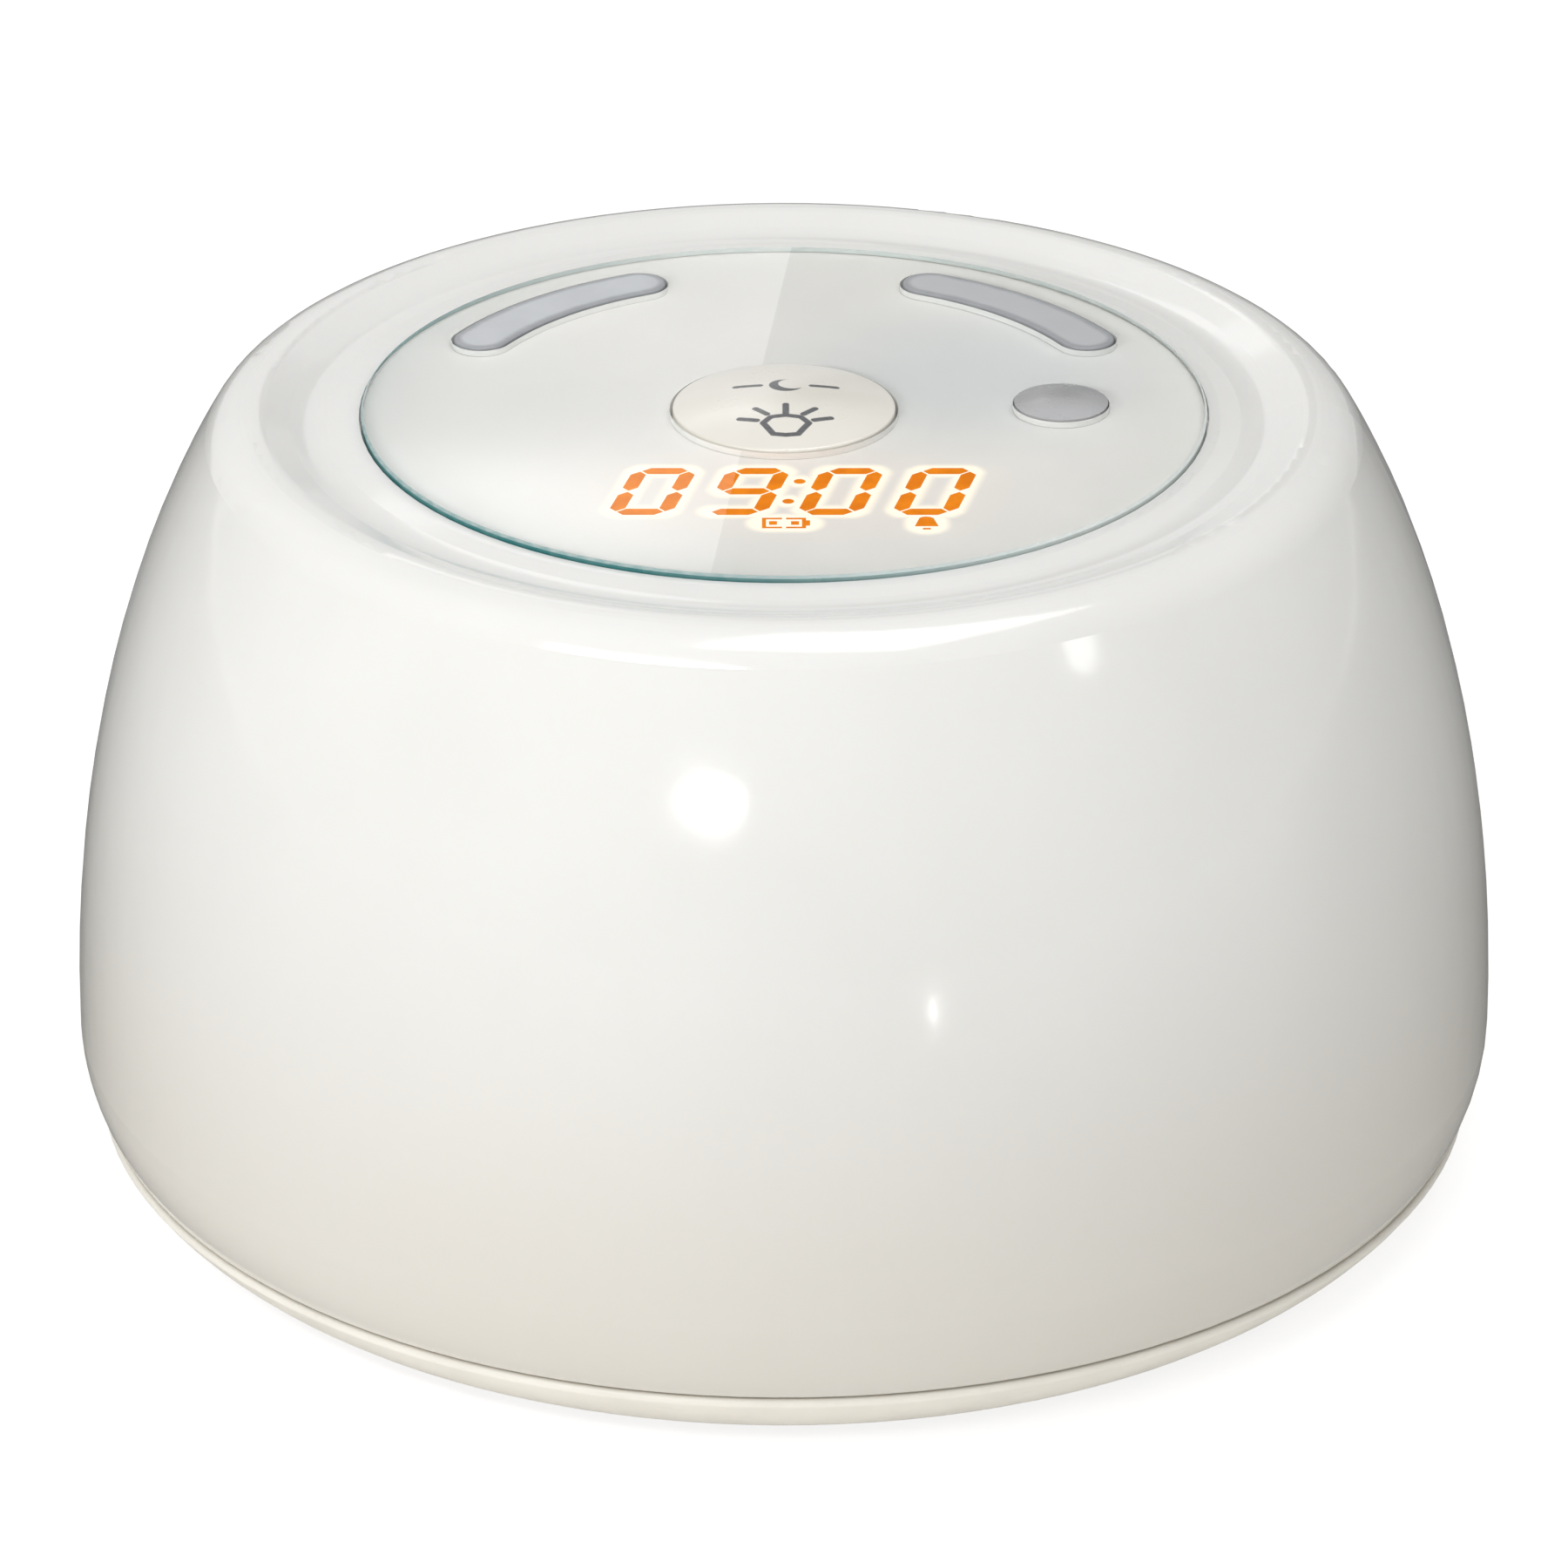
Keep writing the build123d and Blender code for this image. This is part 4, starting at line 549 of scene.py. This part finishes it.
def cell_material():
    """Wrapped cells: a dark wrap with a lighter band at one end and bare steel ends."""
    band_tone = (0.52, 0.30, 0.13)
    steel_tone = (0.62, 0.62, 0.60)
    t = Tree("cell_wrap_print")
    geometry = t.add("ShaderNodeNewGeometry")
    low, high = (corner * MM_PER_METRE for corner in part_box("battery_cells"))
    axis = 0 if high.x - low.x > high.y - low.y else 1
    along = t.axes(t.mm())[axis]
    facing = t.axes(geometry.outputs["Normal"])[axis]
    band_start = high[axis] - BAND_LENGTH
    band = t.ramp(along, band_start - BAND_BLUR, band_start + BAND_BLUR)
    ends = t.ramp(t.without_sign(facing), 0.6, 0.8)
    tone = t.mix(t.patches(4.0), (0.030, 0.034, 0.040), (0.045, 0.050, 0.058))
    tone = t.mix(band, tone, band_tone)
    tone = t.mix(ends, tone, steel_tone)
    surface = t.principled(Base_Color=tone, Metallic=ends, Roughness=t.patches(1.5, 0.22, 0.36, seed=2.0),
                           Normal=t.bump(t.noise(2.0, detail=1.0), 0.01))
    return t.finish(surface)


def rubber_material():
    """Soft dark rubber with dust on it."""
    t = Tree("foot_rubber_soft")
    dust = t.ramp(t.noise(1.6, detail=5.0), 0.52, 0.72)
    tone = t.mix(t.times(dust, 0.35), (0.020, 0.020, 0.021), (0.14, 0.135, 0.125))
    surface = t.principled(Base_Color=tone, Roughness=t.ramp(dust, 0.0, 1.0, 0.62, 0.85),
                           Specular_IOR_Level=0.3, Normal=t.bump(t.noise(0.35), 0.03))
    return t.finish(surface)


def wear(material, *names):
    for name in names:
        for slot in nodes[name].material_slots:
            slot.material = material


wear(shell_material(), "diffuser_shell")
wear(cream_material("cream_satin", (0.975, 0.935, 0.850)), "base_tray")
wear(cream_material("cream_door", (0.910, 0.865, 0.780)), "battery_door")
wear(glass_material(), "top_glass")
wear(film_material(), "face_film")
wear(lit_material(), "lit_segments")
wear(button_material(), "snooze_button")
wear(key_material(), "left_key", "right_key")
wear(lens_material(), "sensor_lens")
wear(rubber_material(), "rubber_feet")
wear(cell_material(), "battery_cells")
wear(board_material(), "clock_board", "lamp_board")
wear(plain_material("moulded_white", (0.72, 0.72, 0.69), 0.46),
     "clock_carrier", "clock_cover", "snooze_plunger", "left_plunger", "right_plunger")
wear(plain_material("black_moulding", (0.016, 0.016, 0.017), 0.42, patch=3.0),
     "display_module", "snooze_switch", "left_switch", "right_switch", "clock_chip")
wear(plain_material("natural_nylon", (0.72, 0.68, 0.55), 0.40, patch=3.0), "clock_socket", "lamp_socket")
wear(plain_material("wire_jacket_grey", (0.045, 0.045, 0.048), 0.50, grain=1.2, patch=4.0),
     "clock_lead", "battery_leads", "speaker_leads")
wear(steel_material("plated_steel", (0.66, 0.66, 0.65)),
     "carrier_screws", "board_screws", "lamp_screws", "base_screws", "motion_sensor", "crystal_can",
     "battery_contacts", "speaker_frame")
wear(steel_material("sintered_magnet", (0.20, 0.20, 0.21)), "speaker_magnet")
wear(plain_material("shrink_sleeve", (0.012, 0.020, 0.11), 0.34, patch=3.0), "capacitor")
wear(plain_material("led_package", (0.80, 0.74, 0.50), 0.30, patch=1.5), "lamp_leds")
wear(plain_material("coated_paper", (0.011, 0.011, 0.012), 0.75,
                    grain=0.5, depth=0.06, specular=0.2, patch=4.0), "speaker_cone")


# Floor, cards, lamps and camera, in metres

FLOOR_HALF = 6.0
MAT_R, MAT_Z, MAT_CORNERS = 3.0, 0.0004, 48
CARD_Y = 1.0
CARD_EDGE_LOW, CARD_EDGE_HIGH = (0.002, CARD_Y, 0.465), (-0.018, CARD_Y, 0.552)
PATCH_MIDDLE = (-0.15, 0.98, 0.72)
PATCH_WIDE, PATCH_HIGH, PATCH_CORNERS = 0.13, 0.08, 24


def flat_object(name, points, material):
    mesh = bpy.data.meshes.new(name)
    mesh.from_pydata(points, [], [tuple(range(len(points)))])
    mesh.materials.append(material)
    obj = bpy.data.objects.new(name, mesh)
    bpy.context.scene.collection.objects.link(obj)
    return obj


def card(name, points, material):
    """A flat object that is seen only in gloss."""
    obj = flat_object(name, points, material)
    obj.visible_camera = False
    obj.visible_diffuse = False
    obj.visible_shadow = False
    obj.visible_transmission = False


def circle(count):
    """Cosine and sine of equal steps round a circle."""
    angles = (math.radians(step * 360.0 / count) for step in range(count))
    return [(math.cos(angle), math.sin(angle)) for angle in angles]


def floor_material():
    """Pale floor that is white to the eye and takes the shadow.

    It is clear from below and lets the lamps shine through, so that the one under it reaches the clock.
    """
    shadow_tone = (0.34, 0.34, 0.34)
    white_level = 0.78
    t = Tree("pale_floor")
    path = t.add("ShaderNodeLightPath")
    geometry = t.add("ShaderNodeNewGeometry")
    seen = t.plus(path.outputs["Is Camera Ray"], path.outputs["Is Glossy Ray"])
    seen = t.plus(seen, path.outputs["Is Transmission Ray"], clamp=True)
    lighting = t.diffuse(t.mix(t.noise(60.0), (0.90, 0.89, 0.87), (0.87, 0.86, 0.84)))
    shadowed = t.diffuse(shadow_tone)
    both = t.add("ShaderNodeAddShader", {0: shadowed, 1: t.emission(WHITE, white_level)}).outputs[0]
    open_side = t.larger(geometry.outputs["Backfacing"], path.outputs["Is Shadow Ray"])
    return t.finish(t.blend(open_side, t.blend(seen, lighting, both), t.transparent()))


def mat_material():
    """Dim grey, lighter in front."""
    back_mm, front_mm = 60.0, -120.0
    back_level, front_level = 0.12, 0.45
    t = Tree("grey_mat")
    _, y, _ = t.axes(t.mm())
    level = t.ramp(y, back_mm, front_mm, back_level, front_level)
    return t.finish(t.emission((1.0, 0.99, 0.97), level))


def glow_material(name, strength):
    t = Tree(name)
    return t.finish(t.emission(WHITE, strength))


flat_object("floor", [(-FLOOR_HALF, -FLOOR_HALF, 0), (FLOOR_HALF, -FLOOR_HALF, 0),
                      (FLOOR_HALF, FLOOR_HALF, 0), (-FLOOR_HALF, FLOOR_HALF, 0)], floor_material())

# A dim mat on the floor round the clock, which keeps the sides of the body from mirroring white
card("grey_mat", [(MAT_R * cos, MAT_R * sin, MAT_Z) for cos, sin in circle(MAT_CORNERS)], mat_material())

# A pale card behind the clock, which the left part of the glass mirrors
card("back_card", [(-1.2, CARD_Y, 0.05), (0.09, CARD_Y, 0.05), CARD_EDGE_LOW, CARD_EDGE_HIGH,
                   (-0.20, CARD_Y, 1.3), (-1.2, CARD_Y, 1.3)], glow_material("card_glow", 0.65))

# Beside it a dark card, so that the other part of the glass mirrors almost nothing
card("dark_card", [(0.0158, CARD_Y, 0.40), (0.20, CARD_Y, 0.40), (0.20, CARD_Y, 0.62),
                   (-0.0345, CARD_Y, 0.62), CARD_EDGE_HIGH, CARD_EDGE_LOW], glow_material("card_shade", 0.05))

# A brighter patch behind, too high for the glass, mirrored by the domes
card("dome_patch", [(PATCH_MIDDLE[0] + PATCH_WIDE * cos, PATCH_MIDDLE[1], PATCH_MIDDLE[2] + PATCH_HIGH * sin)
                    for cos, sin in circle(PATCH_CORNERS)], glow_material("patch_glow", 1.7))

# Lamps: place, target, watts, width and height, shape, and whether gloss mirrors the lamp
LAMPS = {
    "key_softbox": ((-0.46, -0.796, 0.93), (0.0, 0.0, 0.05), 4.0, (0.69, 0.12), "RECTANGLE", True),
    "top_softbox": ((0.17, -0.05, 1.15), (0.0, 0.0, 0.08), 5.3, (0.8, 0.6), "RECTANGLE", True),
    "round_lamp": ((-0.259, -1.176, 0.446), (0.0, -0.06, 0.05), 0.70, (0.28, 0.165), "ELLIPSE", True),
    "fill_lamp": ((-0.12, -1.22, 0.10), (0.0, 0.0, 0.02), 0.8, (0.5, 0.18), "RECTANGLE", False),
    "spark_lamp": ((0.251, -0.62, 0.016), (0.0145, -0.07, 0.0493), 0.022, (0.014, 0.026), "ELLIPSE", True),
    "side_lamp": ((0.955, -0.579, 0.633), (0.0288, -0.0529, 0.08), 0.30, (0.13, 0.15), "ELLIPSE", True),
    "left_lamp": ((-1.2, -0.2, 0.35), (0.0, 0.0, 0.04), 1.5, (0.4, 0.3), "RECTANGLE", False),
    "under_lamp": ((0.0, -0.1, -0.6), (0.0, 0.0, 0.0), 0.35, (0.3, 0.3), "RECTANGLE", False),
    "low_lamp": ((-0.75, -0.60, 0.04), (-0.04, -0.06, 0.01), 0.9, (0.3, 0.06), "RECTANGLE", False),
}


def aim(obj, place, target):
    """Put a lamp or camera in its place, looking at the target."""
    obj.location = place
    obj.rotation_euler = (Vector(target) - Vector(place)).to_track_quat("-Z", "Y").to_euler()
    bpy.context.scene.collection.objects.link(obj)


for name, (place, target, power, (width, height), shape, mirrored) in LAMPS.items():
    light = bpy.data.lights.new(name, "AREA")
    light.energy = power
    light.shape = shape
    light.size = width
    light.size_y = height
    lamp = bpy.data.objects.new(name, light)
    lamp.visible_glossy = mirrored
    aim(lamp, place, target)

# The camera sees a pale background, and the softer sky gives the light
SKY_COLOUR, SKY_STRENGTH = (0.99, 1.0, 1.0, 1.0), 0.37
world = bpy.data.worlds.new("studio")
world.use_nodes = True
sky = world.node_tree
sky.nodes.clear()
path = sky.nodes.new("ShaderNodeLightPath")
soft = sky.nodes.new("ShaderNodeBackground")
soft.inputs["Color"].default_value = SKY_COLOUR
soft.inputs["Strength"].default_value = SKY_STRENGTH
pale = sky.nodes.new("ShaderNodeBackground")
blend = sky.nodes.new("ShaderNodeMixShader")
ending = sky.nodes.new("ShaderNodeOutputWorld")
sky.links.new(path.outputs["Is Camera Ray"], blend.inputs[0])
sky.links.new(soft.outputs[0], blend.inputs[1])
sky.links.new(pale.outputs[0], blend.inputs[2])
sky.links.new(blend.outputs[0], ending.inputs["Surface"])
bpy.context.scene.world = world
bpy.context.scene.view_settings.view_transform = "Standard"

# The photo's angle
CAMERA_PLACE, CAMERA_TARGET = (0.0, -0.7433, 0.3979), (0.0, 0.0, 0.040)
CAMERA_LENS, SENSOR_WIDTH = 179.3, 36.0
camera_data = bpy.data.cameras.new("photo_camera")
camera_data.lens = CAMERA_LENS
camera_data.sensor_width = SENSOR_WIDTH
camera = bpy.data.objects.new("photo_camera", camera_data)
aim(camera, CAMERA_PLACE, CAMERA_TARGET)
bpy.context.scene.camera = camera

bpy.context.view_layer.update()
